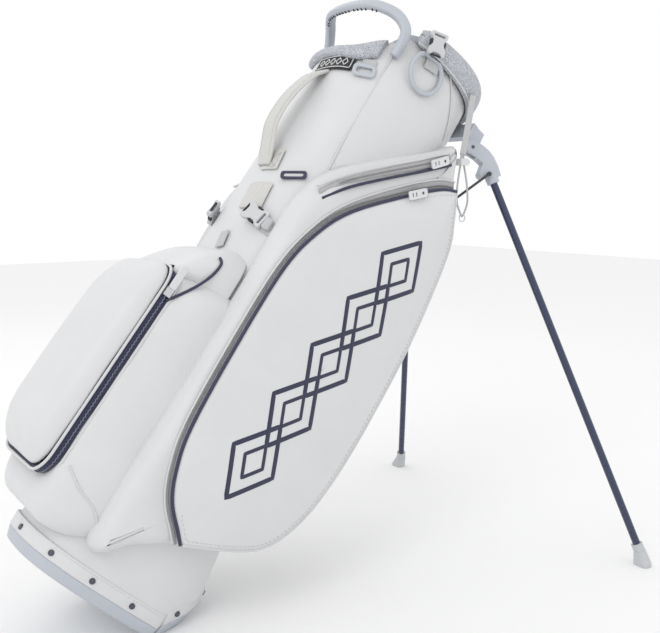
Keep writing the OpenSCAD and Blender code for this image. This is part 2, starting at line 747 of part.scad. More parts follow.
// A female side-release buckle that hangs from a round bar
module buckle() {
    difference() {
        translate([0, -13, -34]) cube([8, 26, 32]);
        translate([2, -9, -35]) cube([4, 18, 20]);
        translate([-1, -9, -9]) cube([10, 18, 9]);
    }
    translate([4, -10, -4.5]) rotate([-90, 0, 0]) cylinder(d = 4, h = 20, $fn = 24);
}
module buckle_right() {
    color("#b9babb") lean() on_wall(-141.5, 524, 2.6) rotate([-100, 0, 0]) buckle();
}
module buckle_left() {
    color("#b9babb") lean() on_wall(141.5, 524, 2.6) rotate([100, 0, 0]) buckle();
}
module buckle_collar() {
    color("#b9babb") lean() on_wall(-108, 888, 14.5) rotate([20, 0, 0]) buckle();
}

// ---- Zip sliders and their pulls

module on_side(start, end, y) {
    v = end - start;
    translate([start.x, -y, start.y]) rotate([0, -atan2(v.y, v.x), 0]) children();
}
module slider_body() {
    translate([-5, -4, -5]) cube([12, 4, 10]);
}
module upper_zip_slider() {
    color("#9a9ca0") lean() on_side(upper_zip_start, upper_zip_end, 120.4) slider_body();
}
module upper_zip_pull() {
    color("#c9cacc") lean() on_side(upper_zip_start, upper_zip_end, 125.8) {
        translate([2, -1, -5]) cube([26, 2, 10]);
        translate([2, 0, -5]) cylinder(d = 2.6, h = 10, $fn = 24);
    }
}
module lower_zip_slider() {
    color("#9a9ca0") lean() on_side(lower_zip_start, [-60, 585], 129) slider_body();
}
module ball_zip_slider() {
    color("#9a9ca0") lean() translate([door_x - 7, -83, 366]) cube([10, 4, 12]);
}
module ball_zip_pull() {
    color("#c9cacc") lean() translate([door_x - 6, -84.4, 376]) {
        translate([0, -1, 0]) cube([8, 2, 34]);
        rotate([0, 90, 0]) cylinder(d = 2.4, h = 8, $fn = 24);
    }
}

base_tray();
base_rivets();
body_shell();
hem_skirt();
stay_rods();
club_divider();
collar_ring();
spine_pad();
rim_pad();
carry_handle();
hinge_bracket();
hinge_pins();
grab_handle();
label_patch();
glove_patch();
slot_badge();
accessory_loop();
side_pocket_right();
side_panel_right();
side_zip_tape_right();
side_piping_right();
side_pocket_left();
side_panel_left();
side_zip_tape_left();
side_piping_left();
ball_pocket();
ball_pocket_door();
ball_zip_band();
valuables_pocket();
hip_pad();
seam_tab();
strap_webbing();
umbrella_webbing();
umbrella_cord();
rod_guides();
heel_pin();
base_heel();
heel_hem();
heel_rivets();
actuator_frame();
actuator_link_right();
actuator_link_left();
knuckle_right();
leg_tube_right();
foot_right();
knuckle_left();
leg_tube_left();
foot_left();
towel_ring();
cord_lock();
cord_lock_button();
cord_ring();
buckle_right();
buckle_left();
buckle_collar();
upper_zip_slider();
upper_zip_pull();
lower_zip_slider();
ball_zip_slider();
ball_zip_pull();
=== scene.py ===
import json
import math

import bmesh
import bpy
from mathutils import Matrix, Vector, noise

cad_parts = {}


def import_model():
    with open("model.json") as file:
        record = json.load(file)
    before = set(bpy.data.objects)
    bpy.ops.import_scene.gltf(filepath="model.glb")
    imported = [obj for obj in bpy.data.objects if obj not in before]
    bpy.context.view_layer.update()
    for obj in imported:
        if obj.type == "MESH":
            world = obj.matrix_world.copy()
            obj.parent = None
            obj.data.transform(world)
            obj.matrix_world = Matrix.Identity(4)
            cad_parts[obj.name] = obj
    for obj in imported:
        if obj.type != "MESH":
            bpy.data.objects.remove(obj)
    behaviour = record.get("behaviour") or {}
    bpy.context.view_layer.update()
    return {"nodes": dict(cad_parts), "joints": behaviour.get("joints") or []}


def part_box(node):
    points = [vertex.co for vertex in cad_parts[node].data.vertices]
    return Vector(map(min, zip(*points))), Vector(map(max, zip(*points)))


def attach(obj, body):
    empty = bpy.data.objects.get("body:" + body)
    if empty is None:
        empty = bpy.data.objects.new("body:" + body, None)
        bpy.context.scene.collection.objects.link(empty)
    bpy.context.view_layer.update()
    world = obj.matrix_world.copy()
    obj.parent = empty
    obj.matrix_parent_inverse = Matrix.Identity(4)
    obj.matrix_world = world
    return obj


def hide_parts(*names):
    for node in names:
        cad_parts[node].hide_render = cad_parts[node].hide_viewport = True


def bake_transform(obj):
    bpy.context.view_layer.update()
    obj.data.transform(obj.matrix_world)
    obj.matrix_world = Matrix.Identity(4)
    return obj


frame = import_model()
joints = {j["name"]: j for j in frame["joints"]}

# ---- The bag's own frame, in millimetres: x towards the legs, y across, z up the bag's axis

slide_axis = Vector(joints["actuator_slide"]["axis"])
LEAN = math.atan2(-slide_axis.x, -slide_axis.z)
COS, SIN = math.cos(LEAN), math.sin(LEAN)
HEEL_HINGE = (65, 10.344)
hinge_at = Vector(joints["heel_flex"]["pos_m"]) * 1000
BAG_X = hinge_at.x - HEEL_HINGE[0] * COS - HEEL_HINGE[1] * SIN
BAG_Z = hinge_at.z + HEEL_HINGE[0] * SIN - HEEL_HINGE[1] * COS


def world(p):
    """A point of the bag frame, in millimetres, as a point of the row frame, in metres."""
    x, y, z = p
    return Vector((BAG_X + x * COS + z * SIN, y, BAG_Z - x * SIN + z * COS)) / 1000


def mix(a, b, t):
    return a + (b - a) * t


def ease(t):
    t = min(1.0, max(0.0, t))
    return t * t * (3 - 2 * t)


# ---- Body and skirt sections: height, centre x, half depth, half width, squareness

BODY = [(-60, -14, 103, 78, 2.8), (66, -14, 104, 80, 2.8), (140, -14, 106, 88, 2.8),
        (230, -15.5, 107, 91, 2.8), (490, -18, 108, 96, 2.8), (760, -22, 112, 100, 2.5),
        (900, -24, 114, 100, 2.15), (1000, -24, 114, 100, 2.15)]
SKIRT = [(-60, -1, 131, 91, 2.8), (40, -1, 131, 91, 2.8), (66, 2, 128, 91, 2.8),
         (137, -3, 121, 92, 2.8), (230, -16, 110.5, 95, 2.8)]
BASE_LIFT, BASE_HEIGHT, PITCH = 8, 15, math.tan(math.radians(5))
BASE_CENTRE, BASE_HALF_X, BASE_HALF_Y, BASE_SQUARENESS = -1, 131, 91, 2.8
HINGE_ABOVE_GROUND = 8
GROUND_AT_HINGE = HEEL_HINGE[1] - HINGE_ABOVE_GROUND / COS
BEYOND_BASE = 200
HEEL_RIM = 16
RIM_SPINE, RIM_LEG, PAD_HEIGHT = 812, 883, 32
CUFF_HEIGHT = 880
SIDE_FACE = 117.5


def level(levels, z):
    """The section at a height, eased a little between the given ones."""
    for a, b in zip(levels, levels[1:]):
        if z < b[0] or b is levels[-1]:
            share = (z - a[0]) / (b[0] - a[0])
            t = ease(share) * 0.35 + 0.65 * min(1, max(0, share))
            return [mix(p, q, t) for p, q in zip(a, b)]


def oval(hx, hy, n, angle):
    c, s = math.cos(math.radians(angle)), math.sin(math.radians(angle))
    return hx * math.copysign(abs(c) ** (2 / n), c), hy * math.copysign(abs(s) ** (2 / n), s)


def base_oval(out, angle):
    """A point of the base's outline, grown by out, in x and y."""
    x, y = oval(BASE_HALF_X + out, BASE_HALF_Y + out, BASE_SQUARENESS, angle)
    return x + BASE_CENTRE, y


def section_point(levels, z, angle, grow=0.0):
    _, cx, hx, hy, n = level(levels, z)
    x, y = oval(hx + grow, hy + grow, n, angle)
    return Vector((cx + x, y, z))


def body_point(z, angle, grow=0.0):
    return section_point(BODY, z, angle, grow)


def body_half_width(x, z):
    _, cx, hx, hy, n = level(BODY, z)
    across = abs((x - cx) / hx)
    return hy * (1 - across ** n) ** (1 / n) if across < 1 else 0.0


def rim_z(x):
    """The height of the cuff's rim, low at the spine and high at the legs."""
    return mix(RIM_SPINE + 28 * ease((x + 138) / 28), RIM_LEG, ease((x + 114) / 26)) + 0.13 * max(0, x + 90)


def pad_drop(x):
    """How far the rim pad hangs below the rim."""
    return PAD_HEIGHT + (x - 10) * 0.09


def cuff_x(angle):
    return body_point(CUFF_HEIGHT, angle).x


def rim_point(angle, out, up):
    """A point of the rim pad's section, out from the wall and up from the rim."""
    x = cuff_x(angle)
    reach = pad_drop(x) / PAD_HEIGHT if up < -14 else 1
    return body_point(rim_z(x) + up * reach, angle, out)


def ground_z(x):
    return GROUND_AT_HINGE + (x - HEEL_HINGE[0]) * math.tan(LEAN)


def under_z(x):
    """The base's underside: its main face, or the heel's flat face."""
    return max(BASE_LIFT - x * PITCH, ground_z(x))


def hem_z(x):
    """The lower edge of the fabric, along the top of the base moulding."""
    return max(BASE_LIFT + BASE_HEIGHT - x * PITCH, ground_z(x) + HEEL_RIM / COS)


# ---- Mesh helpers

def mesh_piece(name, points, faces, material, body="bag", slot=None, replaces=(), smooth=True,
               flat_angle=None):
    """A mesh from bag-frame points, riding on a body."""
    data = bpy.data.meshes.new(name)
    data.from_pydata([world(p) for p in points], [], faces)
    data.validate()
    obj = bpy.data.objects.new(name, data)
    bpy.context.scene.collection.objects.link(obj)
    tidy_mesh(obj)
    if smooth:
        data.polygons.foreach_set("use_smooth", [True] * len(data.polygons))
        if flat_angle:
            data.set_sharp_from_angle(angle=math.radians(flat_angle))
    data.materials.append(material)
    if body:
        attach(obj, body)
    if replaces:
        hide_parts(*replaces)
    return obj


def tidy_mesh(obj):
    bm = bmesh.new()
    bm.from_mesh(obj.data)
    bmesh.ops.remove_doubles(bm, verts=bm.verts, dist=1e-6)
    bmesh.ops.recalc_face_normals(bm, faces=bm.faces)
    bm.to_mesh(obj.data)
    bm.free()


def grid(rows, loop_rows=False, loop_cols=True, caps=True):
    """Points and faces of rows of equal length."""
    n, m = len(rows), len(rows[0])
    points = [p for row in rows for p in row]
    faces = []
    for i in range(n if loop_rows else n - 1):
        for j in range(m if loop_cols else m - 1):
            a, b = i * m, ((i + 1) % n) * m
            k = (j + 1) % m
            faces.append((a + j, a + k, b + k, b + j))
    if caps and not loop_rows and loop_cols:
        faces.append(tuple(range(m - 1, -1, -1)))
        faces.append(tuple((n - 1) * m + j for j in range(m)))
    return points, faces


def curve_through(points, steps, closed=False):
    """A smooth curve through points."""
    points = [Vector(p) for p in points]
    n = len(points)
    made = []
    for i in range(n if closed else n - 1):
        near = [(i + k) % n if closed else min(n - 1, max(0, i + k)) for k in (-1, 0, 1, 2)]
        a, b, c, d = [points[k] for k in near]
        for s in range(steps):
            t = s / steps
            made.append(0.5 * ((2 * b) + (c - a) * t + (2 * a - 5 * b + 4 * c - d) * t * t
                               + (3 * b - a - 3 * c + d) * t ** 3))
    return made if closed else made + [points[-1]]


def even(points, count, closed=False):
    """The same curve with evenly spaced points."""
    line = list(points) + ([points[0]] if closed else [])
    lengths = [0.0]
    for a, b in zip(line, line[1:]):
        lengths.append(lengths[-1] + (b - a).length)
    made, k = [], 0
    for i in range(count):
        at = lengths[-1] * i / (count if closed else count - 1)
        while k < len(line) - 2 and lengths[k + 1] < at:
            k += 1
        share = (at - lengths[k]) / max(1e-9, lengths[k + 1] - lengths[k])
        made.append(line[k].lerp(line[k + 1], min(1, share)))
    return made


def sweep(path, across, width, height, sides=12, squareness=2.0, closed=False, taper=None):
    """Rows of an oval section swept along a path; across is a direction or one per point."""
    rows = []
    n = len(path)
    for i, p in enumerate(path):
        ahead = path[(i + 1) % n] if closed else path[min(n - 1, i + 1)]
        behind = path[i - 1] if closed else path[max(0, i - 1)]
        along = (ahead - behind).normalized()
        side = Vector(across[i] if isinstance(across, list) else across)
        side = (side - along * side.dot(along)).normalized()
        up = along.cross(side)
        scale = taper(i / (n - 1)) if taper else 1
        rows.append([p + side * x * scale + up * y * scale for x, y in
                     [oval(width / 2, height / 2, squareness, 360 * j / sides) for j in range(sides)]])
    return rows


def tube(name, path, radius, material, across=(0, 1, 0), body="bag", closed=False, sides=10, **more):
    path = [Vector(p) for p in path]
    rows = sweep(path, across, 2 * radius, 2 * radius, sides, closed=closed)
    return mesh_piece(name, *grid(rows, loop_rows=closed), material, body, **more)


def soften(points, amount, size, seed=0.0):
    """Gentle unevenness of stuffed fabric: moves points by smooth noise."""
    made = []
    for p in points:
        q = Vector(p) / size + Vector((seed, seed * 1.7, seed * 2.3))
        made.append(Vector(p) + Vector((noise.noise(q), noise.noise(q + Vector((31, 7, 3))),
                                        noise.noise(q + Vector((5, 43, 11))))) * amount)
    return made


def subdivide(obj, levels=1):
    modifier = obj.modifiers.new("subdivision", "SUBSURF")
    modifier.levels = modifier.render_levels = levels
    return obj


def bevel(obj, width_mm, segments=3):
    modifier = obj.modifiers.new("bevel", "BEVEL")
    modifier.width = width_mm / 1000
    modifier.segments = segments
    modifier.limit_method = "ANGLE"
    modifier.angle_limit = math.radians(35)
    modifier.harden_normals = False
    return obj


def slab(name, outline, thickness, place, material, body="bag", round_mm=0.8, holes=(), **more):
    """A flat moulded piece: an outline in its own x and y, thickness along z, put in place by a matrix."""
    bm = bmesh.new()
    loops = []
    for points in [outline, *holes]:
        verts = [bm.verts.new((x, y, 0)) for x, y in points]
        loops += [bm.edges.new((verts[i], verts[(i + 1) % len(verts)])) for i in range(len(verts))]
    bmesh.ops.triangle_fill(bm, use_beauty=True, use_dissolve=True, edges=loops)
    made = bmesh.ops.extrude_face_region(bm, geom=bm.faces[:])
    bmesh.ops.translate(bm, verts=[v for v in made["geom"] if isinstance(v, bmesh.types.BMVert)],
                        vec=(0, 0, thickness))
    bmesh.ops.recalc_face_normals(bm, faces=bm.faces)
    bm.transform(place)
    points = [v.co.copy() for v in bm.verts]
    bm.verts.index_update()
    faces = [[v.index for v in f.verts] for f in bm.faces]
    bm.free()
    obj = mesh_piece(name, points, faces, material, body, flat_angle=40, **more)
    return bevel(obj, round_mm, 2)


def rounded_box(width, height, radius, steps=5):
    made = []
    for k, (sx, sy) in enumerate([(1, 1), (-1, 1), (-1, -1), (1, -1)]):
        for i in range(steps + 1):
            a = math.radians(90 * k + 90 * i / steps)
            made.append((sx * (width / 2 - radius) + radius * math.cos(a),
                         sy * (height / 2 - radius) + radius * math.sin(a)))
    return made


def frame_at(origin, x_axis, z_axis):
    """A matrix whose x runs along x_axis and whose z along z_axis, in the bag frame."""
    z = Vector(z_axis).normalized()
    x = Vector(x_axis)
    x = (x - z * x.dot(z)).normalized()
    y = z.cross(x)
    return Matrix(((x.x, y.x, z.x, origin[0]), (x.y, y.y, z.y, origin[1]), (x.z, y.z, z.z, origin[2]),
                   (0, 0, 0, 1)))


def on_wall(angle, z, out=0.0, turn=0.0):
    """A frame on the body's wall: z out of the wall, y up the bag, turned about the wall's normal."""
    a, b = body_point(z, angle - 1), body_point(z, angle + 1)
    along = (b - a).normalized()
    normal = Vector((along.y, -along.x, 0))
    place = frame_at(body_point(z, angle) + normal * out, along, normal)
    return place @ Matrix.Rotation(math.radians(turn), 4, "Z")


# ---- Materials

def new_material(name, color, roughness, metallic=0.0, sheen=0.0, coat=0.0):
    made = bpy.data.materials.new(name)
    made.use_nodes = True
    shader = made.node_tree.nodes["Principled BSDF"]
    shader.inputs["Base Color"].default_value = (*color, 1)
    shader.inputs["Roughness"].default_value = roughness
    shader.inputs["Metallic"].default_value = metallic
    shader.inputs["Sheen Weight"].default_value = sheen
    shader.inputs["Coat Weight"].default_value = coat
    return made, made.node_tree, shader


def coordinates(tree, turn=True):
    """Object coordinates turned into the bag's frame, in metres."""
    where = tree.nodes.new("ShaderNodeTexCoord")
    mapping = tree.nodes.new("ShaderNodeMapping")
    mapping.inputs["Rotation"].default_value = (0, -LEAN if turn else 0, 0)
    tree.links.new(where.outputs["Object"], mapping.inputs["Vector"])
    return mapping.outputs["Vector"]


def texture(tree, kind, vector, size_mm, **settings):
    node = tree.nodes.new(kind)
    node.inputs["Scale"].default_value = 1000 / size_mm
    for key, value in settings.items():
        if key in node.inputs:
            node.inputs[key].default_value = value
        else:
            setattr(node, key, value)
    tree.links.new(vector, node.inputs["Vector"])
    return node


def color_between(tree, factor, low, high):
    ramp = tree.nodes.new("ShaderNodeValToRGB")
    ramp.color_ramp.elements[0].color = (*low, 1)
    ramp.color_ramp.elements[1].color = (*high, 1)
    tree.links.new(factor, ramp.inputs["Fac"])
    return ramp


def value_between(tree, factor, low, high):
    node = tree.nodes.new("ShaderNodeMapRange")
    node.inputs["To Min"].default_value = low
    node.inputs["To Max"].default_value = high
    tree.links.new(factor, node.inputs["Value"])
    return node.outputs["Result"]


def bump(tree, shader, height, depth_mm, strength=1.0, after=None):
    node = tree.nodes.new("ShaderNodeBump")
    node.inputs["Distance"].default_value = depth_mm / 1000
    node.inputs["Strength"].default_value = strength
    tree.links.new(height, node.inputs["Height"])
    if after:
        tree.links.new(after.outputs["Normal"], node.inputs["Normal"])
    tree.links.new(node.outputs["Normal"], shader.inputs["Normal"])
    return node


def math_node(tree, operation, a, b):
    node = tree.nodes.new("ShaderNodeMath")
    node.operation = operation
    for i, v in enumerate((a, b)):
        if isinstance(v, (int, float)):
            node.inputs[i].default_value = v
        else:
            tree.links.new(v, node.inputs[i])
    return node.outputs[0]


def coated_fabric(name, color, roughness=0.5):
    """Coated bag cloth: pebbled grain over soft creases, slightly uneven colour and gloss."""
    made, tree, shader = new_material(name, color, roughness, sheen=0.08)
    where = coordinates(tree)
    cloud = texture(tree, "ShaderNodeTexNoise", where, 60, Detail=3.0)
    tone = color_between(tree, cloud.outputs["Fac"], [c * 0.955 for c in color],
                         [min(1, c * 1.03) for c in color])
    tree.links.new(tone.outputs["Color"], shader.inputs["Base Color"])
    grain = texture(tree, "ShaderNodeTexVoronoi", where, 0.9)
    creases = texture(tree, "ShaderNodeTexNoise", where, 28, Detail=4.0, Roughness=0.6)
    tree.links.new(value_between(tree, creases.outputs["Fac"], roughness - 0.08, roughness + 0.1),
                   shader.inputs["Roughness"])
    soft = bump(tree, shader, creases.outputs["Fac"], 1.6, 0.35)
    bump(tree, shader, grain.outputs["Distance"], 0.12, 0.5, after=soft)
    return made


def woven(name, color, thread_mm, roughness=0.85, dark=0.72, depth_mm=0.25, sheen=0.25, ribs=False):
    """Woven cloth or webbing: crossing threads, or ribs across one way."""
    made, tree, shader = new_material(name, color, roughness, sheen=sheen)
    where = coordinates(tree)
    bands = []
    for direction in ("X", "Z", "Y"):
        bands.append(texture(tree, "ShaderNodeTexWave", where, thread_mm * 6.28, bands_direction=direction,
                             Distortion=0.4).outputs["Fac"])
    both = bands[1] if ribs else math_node(tree, "MULTIPLY", math_node(tree, "ADD", bands[0], bands[2]),
                                           bands[1])
    fuzz = texture(tree, "ShaderNodeTexNoise", where, 3, Detail=3.0)
    shade = math_node(tree, "MULTIPLY_ADD", both, 0.45)
    shade.node.inputs[2].default_value = 0.25
    blended = math_node(tree, "ADD", shade, math_node(tree, "MULTIPLY", fuzz.outputs["Fac"], 0.35))
    tone = color_between(tree, blended, [c * dark for c in color], [min(1, c * 1.12) for c in color])
    tree.links.new(tone.outputs["Color"], shader.inputs["Base Color"])
    bump(tree, shader, both, depth_mm, 0.6)
    return made


def spacer_mesh(name, color):
    """Knitted spacer mesh: rows of small open cells, their centres darkened as painted shade inside the
    openings.
    """
    made, tree, shader = new_material(name, color, 0.75, sheen=0.3)
    where = coordinates(tree)
    cells = texture(tree, "ShaderNodeTexVoronoi", where, 2.6, feature="DISTANCE_TO_EDGE", Randomness=0.8)
    holes = tree.nodes.new("ShaderNodeMapRange")
    holes.inputs["From Min"].default_value = 0.08
    holes.inputs["From Max"].default_value = 0.3
    tree.links.new(cells.outputs["Distance"], holes.inputs["Value"])
    # painted shade: the cells' centres are darkened to stand for the shade inside the openings
    tone = color_between(tree, holes.outputs["Result"], [min(1, c * 1.12) for c in color],
                         [c * 0.62 for c in color])
    tree.links.new(tone.outputs["Color"], shader.inputs["Base Color"])
    bump(tree, shader, math_node(tree, "SUBTRACT", 1.0, holes.outputs["Result"]), 0.7, 0.8)
    return made


def moulded(name, color, roughness=0.42, grain_mm=0.7, coat=0.0):
    """Moulded plastic: spark-eroded grain, faint flow marks and scuffs."""
    made, tree, shader = new_material(name, color, roughness, coat=coat)
    where = coordinates(tree)
    cloud = texture(tree, "ShaderNodeTexNoise", where, 45, Detail=2.0)
    tone = color_between(tree, cloud.outputs["Fac"], [c * 0.94 for c in color],
                         [min(1, c * 1.04) for c in color])
    tree.links.new(tone.outputs["Color"], shader.inputs["Base Color"])
    grain = texture(tree, "ShaderNodeTexNoise", where, grain_mm, Detail=2.0)
    scuffs = texture(tree, "ShaderNodeTexNoise", where, 9, Detail=6.0, Roughness=0.7)
    tree.links.new(value_between(tree, scuffs.outputs["Fac"], roughness - 0.1, roughness + 0.14),
                   shader.inputs["Roughness"])
    bump(tree, shader, grain.outputs["Fac"], 0.12, 0.5)
    return made


def painted_metal(name, color, roughness=0.28, metallic=0.0, coat=0.6):
    """Painted or plated metal: drawn streaks, tiny dust and wear in the gloss."""
    made, tree, shader = new_material(name, color, roughness, metallic, coat=coat)
    where = coordinates(tree, turn=False)
    streaks = texture(tree, "ShaderNodeTexNoise", where, 4, Detail=5.0)
    tone = color_between(tree, streaks.outputs["Fac"], [c * 0.85 for c in color],
                         [min(1, c * 1.25) for c in color])
    tree.links.new(tone.outputs["Color"], shader.inputs["Base Color"])
    tree.links.new(value_between(tree, streaks.outputs["Fac"], roughness - 0.08, roughness + 0.12),
                   shader.inputs["Roughness"])
    fine = texture(tree, "ShaderNodeTexNoise", where, 0.8, Detail=2.0)
    bump(tree, shader, fine.outputs["Fac"], 0.03, 0.3)
    return made


NAVY = (0.024, 0.028, 0.066)
MOULDING = (0.47, 0.50, 0.55)
white = coated_fabric("white_coated_cloth", (0.655, 0.66, 0.67))
white_trim = coated_fabric("white_trim", (0.62, 0.625, 0.635), 0.42)
inside_cloth = woven("liner_cloth", (0.62, 0.63, 0.65), 1.2)
navy_cloth = coated_fabric("navy_trim", NAVY, 0.4)
navy_print = coated_fabric("navy_print", (0.020, 0.024, 0.058), 0.34)
zip_tape = woven("zip_tape", (0.44, 0.44, 0.45), 0.9)
navy_tape = woven("navy_zip_tape", (0.032, 0.037, 0.085), 0.9, dark=0.6)
coil_dark = moulded("zip_coil", (0.17, 0.18, 0.23), 0.4)
coil_grey = moulded("zip_coil_grey", (0.30, 0.30, 0.31), 0.4)
mesh_cloth = spacer_mesh("spacer_mesh", (0.46, 0.48, 0.52))
handle_cloth = woven("handle_cloth", (0.585, 0.58, 0.56), 0.8, dark=0.85)
webbing_cloth = woven("webbing", (0.50, 0.505, 0.515), 1.3, ribs=True)
label_cloth = woven("label_cloth", (0.012, 0.013, 0.018), 0.5)
label_thread = woven("label_thread", (0.75, 0.75, 0.75), 0.5)
thread = woven("stitching", (0.50, 0.50, 0.51), 0.6)
plastic = moulded("grey_moulding", MOULDING)
buckle_plastic = moulded("buckle_plastic", (0.56, 0.57, 0.585), 0.38)
white_plastic = moulded("white_plastic", (0.66, 0.67, 0.68), 0.36)
# painted shade: this near-black plastic stands in for the shade inside the carry handle's slots, the
# buckles' mouths and the windows beside their latches
recess_shade_plastic = moulded("painted_recess_shade", (0.03, 0.032, 0.04), 0.6)
gunmetal = painted_metal("gunmetal", (0.10, 0.105, 0.125), 0.3, metallic=0.9, coat=0.0)
bare_metal = painted_metal("bare_metal", (0.6, 0.61, 0.63), 0.28, metallic=1.0, coat=0.0)
rod_paint = painted_metal("rod_paint", (0.012, 0.012, 0.016), 0.25)
leg_paint = painted_metal("leg_paint", (0.024, 0.032, 0.078), 0.26, metallic=0.3)
rubber = moulded("foot_rubber", (0.52, 0.535, 0.56), 0.6, 1.2)

KEPT = {
    "base_rivets": gunmetal, "heel_rivets": gunmetal, "hinge_pins": gunmetal, "stay_rods": plastic,
    "collar_ring": plastic, "hinge_bracket": plastic, "towel_ring": plastic, "rod_guides": plastic,
    "heel_pin": bare_metal, "actuator_frame": rod_paint, "actuator_link_right": rod_paint,
    "actuator_link_left": rod_paint, "knuckle_right": plastic, "knuckle_left": plastic,
    "leg_tube_right": leg_paint, "leg_tube_left": leg_paint, "foot_right": rubber, "foot_left": rubber,
    "cord_lock": white_plastic, "cord_lock_button": white_plastic, "cord_ring": bare_metal,
    "club_divider": inside_cloth, "upper_zip_slider": bare_metal, "lower_zip_slider": bare_metal,
    "ball_zip_slider": bare_metal,
}
ROUNDED = {
    "hinge_bracket": 1.6, "knuckle_right": 1.8, "knuckle_left": 1.8, "foot_right": 1.2, "foot_left": 1.2,
    "cord_lock": 1.6, "cord_lock_button": 0.8, "base_rivets": 0.8, "heel_rivets": 0.8, "rod_guides": 0.8,
    "upper_zip_slider": 1.2, "lower_zip_slider": 1.2, "ball_zip_slider": 1.2, "collar_ring": 0.8,
}


def dress_kept_nodes():
    for name, material in KEPT.items():
        obj = frame["nodes"][name]
        obj.data.materials.clear()
        obj.data.materials.append(material)
        if name in ROUNDED:
            bevel(obj, ROUNDED[name])


# ---- Camera and cord

CAMERA_TARGET = Vector((0.3473, 0.0835, 0.3659))
CAMERA_AZIMUTH, CAMERA_ELEVATION, CAMERA_DISTANCE = -34.4, 8.0, 1.399
CAMERA_LENS, CAMERA_SHIFT = 47.3, -0.003


def make_camera():
    a, e = math.radians(CAMERA_AZIMUTH), math.radians(CAMERA_ELEVATION)
    back = Vector((math.sin(a) * math.cos(e), -math.cos(a) * math.cos(e), math.sin(e)))
    data = bpy.data.cameras.new("camera")
    data.lens = CAMERA_LENS
    data.sensor_width = 36
    data.shift_y = CAMERA_SHIFT
    camera = bpy.data.objects.new("camera", data)
    camera.location = CAMERA_TARGET + back * CAMERA_DISTANCE
    camera.rotation_mode = "QUATERNION"
    camera.rotation_quaternion = (-back).to_track_quat("-Z", "Y")
    bpy.context.scene.collection.objects.link(camera)
    bpy.context.scene.camera = camera


# The elastic cord's route in the row frame: down from its webbing, round and back
CORD_TOP = Vector((0.454, -0.104, 0.613))
CORD_ROUTE = [(-2, 0, 3), (-3, 0, -10), (-6, 0, -26), (-9, 0, -46), (-9, 0, -66), (-6, -3, -80),
              (-2, -3, -86),
              (2, 0, -87.5), (6, 3, -86), (10, 3, -80), (12, 0, -66), (11, 0, -46), (7, 0, -26),
              (3, 0, -10),
              (2, 0, 3)]


def from_row(p):
    """A point of the row frame, in metres, as a point of the bag frame, in millimetres."""
    x, y, z = p[0] * 1000 - BAG_X, p[1] * 1000, p[2] * 1000 - BAG_Z
    return Vector((x * COS - z * SIN, y, x * SIN + z * COS))


def make_umbrella_cord():
    route = [CORD_TOP + Vector(p) / 1000 for p in CORD_ROUTE]
    smooth_route = curve_through(route, 3)
    path = [from_row(p) for p in smooth_route]
    cord = tube("umbrella_loop_cord", path, 1.45, webbing_cloth, sides=8, slot="webbing",
                replaces=["umbrella_cord"])
    low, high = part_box("umbrella_webbing")
    top = Vector((high.x - 0.006, (low.y + high.y) / 2, high.z))
    foot = Vector((low.x + 0.006, (low.y + high.y) / 2, low.z))
    strap = even([from_row(top), from_row(top.lerp(foot, 0.5)), from_row(foot)], 24)
    rows = sweep(strap, (0, 1, 0), 1.8, 11.5, 16, 5)
    mesh_piece("umbrella_strap", *grid(rows), webbing_cloth, slot="webbing", replaces=["umbrella_webbing"])


# ---- Base

def make_moulding(name, low_x, high_x, body, replaces):
    """The base's moulded edge with its floor, for one side of the heel's hinge line."""
    steps = 192
    profile = [(-10, 4.0), (-10, 0.6), (-6.0, 0.0), (-4.6, 0.7), (-3.4, 3.5), (-0.6, 11.5), (0.2, 14.0),
               (-0.4, 15.0),
               (-3.0, 15.0), (-3.0, 24.0), (-5.0, 24.0), (-6.0, 4.0)]
    keep = [low_x <= base_oval(0, 360 * i / steps)[0] <= high_x for i in range(steps)]
    start = next(i for i in range(steps) if keep[i] and not keep[i - 1])
    angles = [360 * ((start + k) % steps) / steps for k in range(steps) if keep[(start + k) % steps]]
    rows = []
    for angle in angles:
        row = []
        for out, up in profile:
            x, y = base_oval(out, angle)
            base = under_z(x)
            wall = hem_z(x) - base
            lift = up / BASE_HEIGHT * wall if up <= BASE_HEIGHT else wall + up - BASE_HEIGHT
            row.append(Vector((x, y, base + lift)))
        rows.append(row)
    return mesh_piece(name, *grid(rows), plastic, body, slot="grey_moulding", replaces=replaces,
                      flat_angle=50)


FLOOR_HALF_X, FLOOR_HALF_Y, FLOOR_THICKNESS = 124, 84, 3.2


def make_floor_plate(name, x_from, x_to, lift, body):
    """The ribbed underside between the moulded edges."""
    rows = []
    count, columns = 26, 25
    for i in range(count):
        x = mix(x_from, x_to, i / (count - 1))
        across = min(1.0, abs((x - BASE_CENTRE) / FLOOR_HALF_X))
        half = max(2.0, FLOOR_HALF_Y * (1 - across ** BASE_SQUARENESS) ** (1 / BASE_SQUARENESS))
        rib = 0.8 if i % 4 in (1, 2) else 0.0
        rows.append([Vector((x, mix(-half, half, j / (columns - 1)), under_z(x) + lift + rib))
                     for j in range(columns)])
    under = [[p + Vector((0, 0, FLOOR_THICKNESS)) for p in row] for row in reversed(rows)]
    return mesh_piece(name, *grid(rows + under, loop_rows=True, loop_cols=False), plastic, body,
                      slot="grey_moulding", flat_angle=40)


def make_base():
    make_moulding("base_moulding", -BEYOND_BASE, HEEL_HINGE[0] + 1.5, "bag", ["base_tray"])
    make_moulding("heel_moulding", HEEL_HINGE[0] + 2.2, BEYOND_BASE, "heel", ["base_heel"])
    make_floor_plate("base_floor", -121, HEEL_HINGE[0], 2.0, "bag")
    make_floor_plate("heel_floor", HEEL_HINGE[0] + 4, 119, 0.6, "heel")


# ---- Skirt, body and their seams

def double_wall(outer_rows, inner_rows):
    return outer_rows + list(reversed(inner_rows))


def skirt_ripple(p, angle):
    """Soft vertical folds that die out at the hem."""
    height = ease((p.z - 45) / 60)
    wave = math.sin(math.radians(angle * 7)) * 0.8 + noise.noise(p / 55) * 2.2
    return height * wave


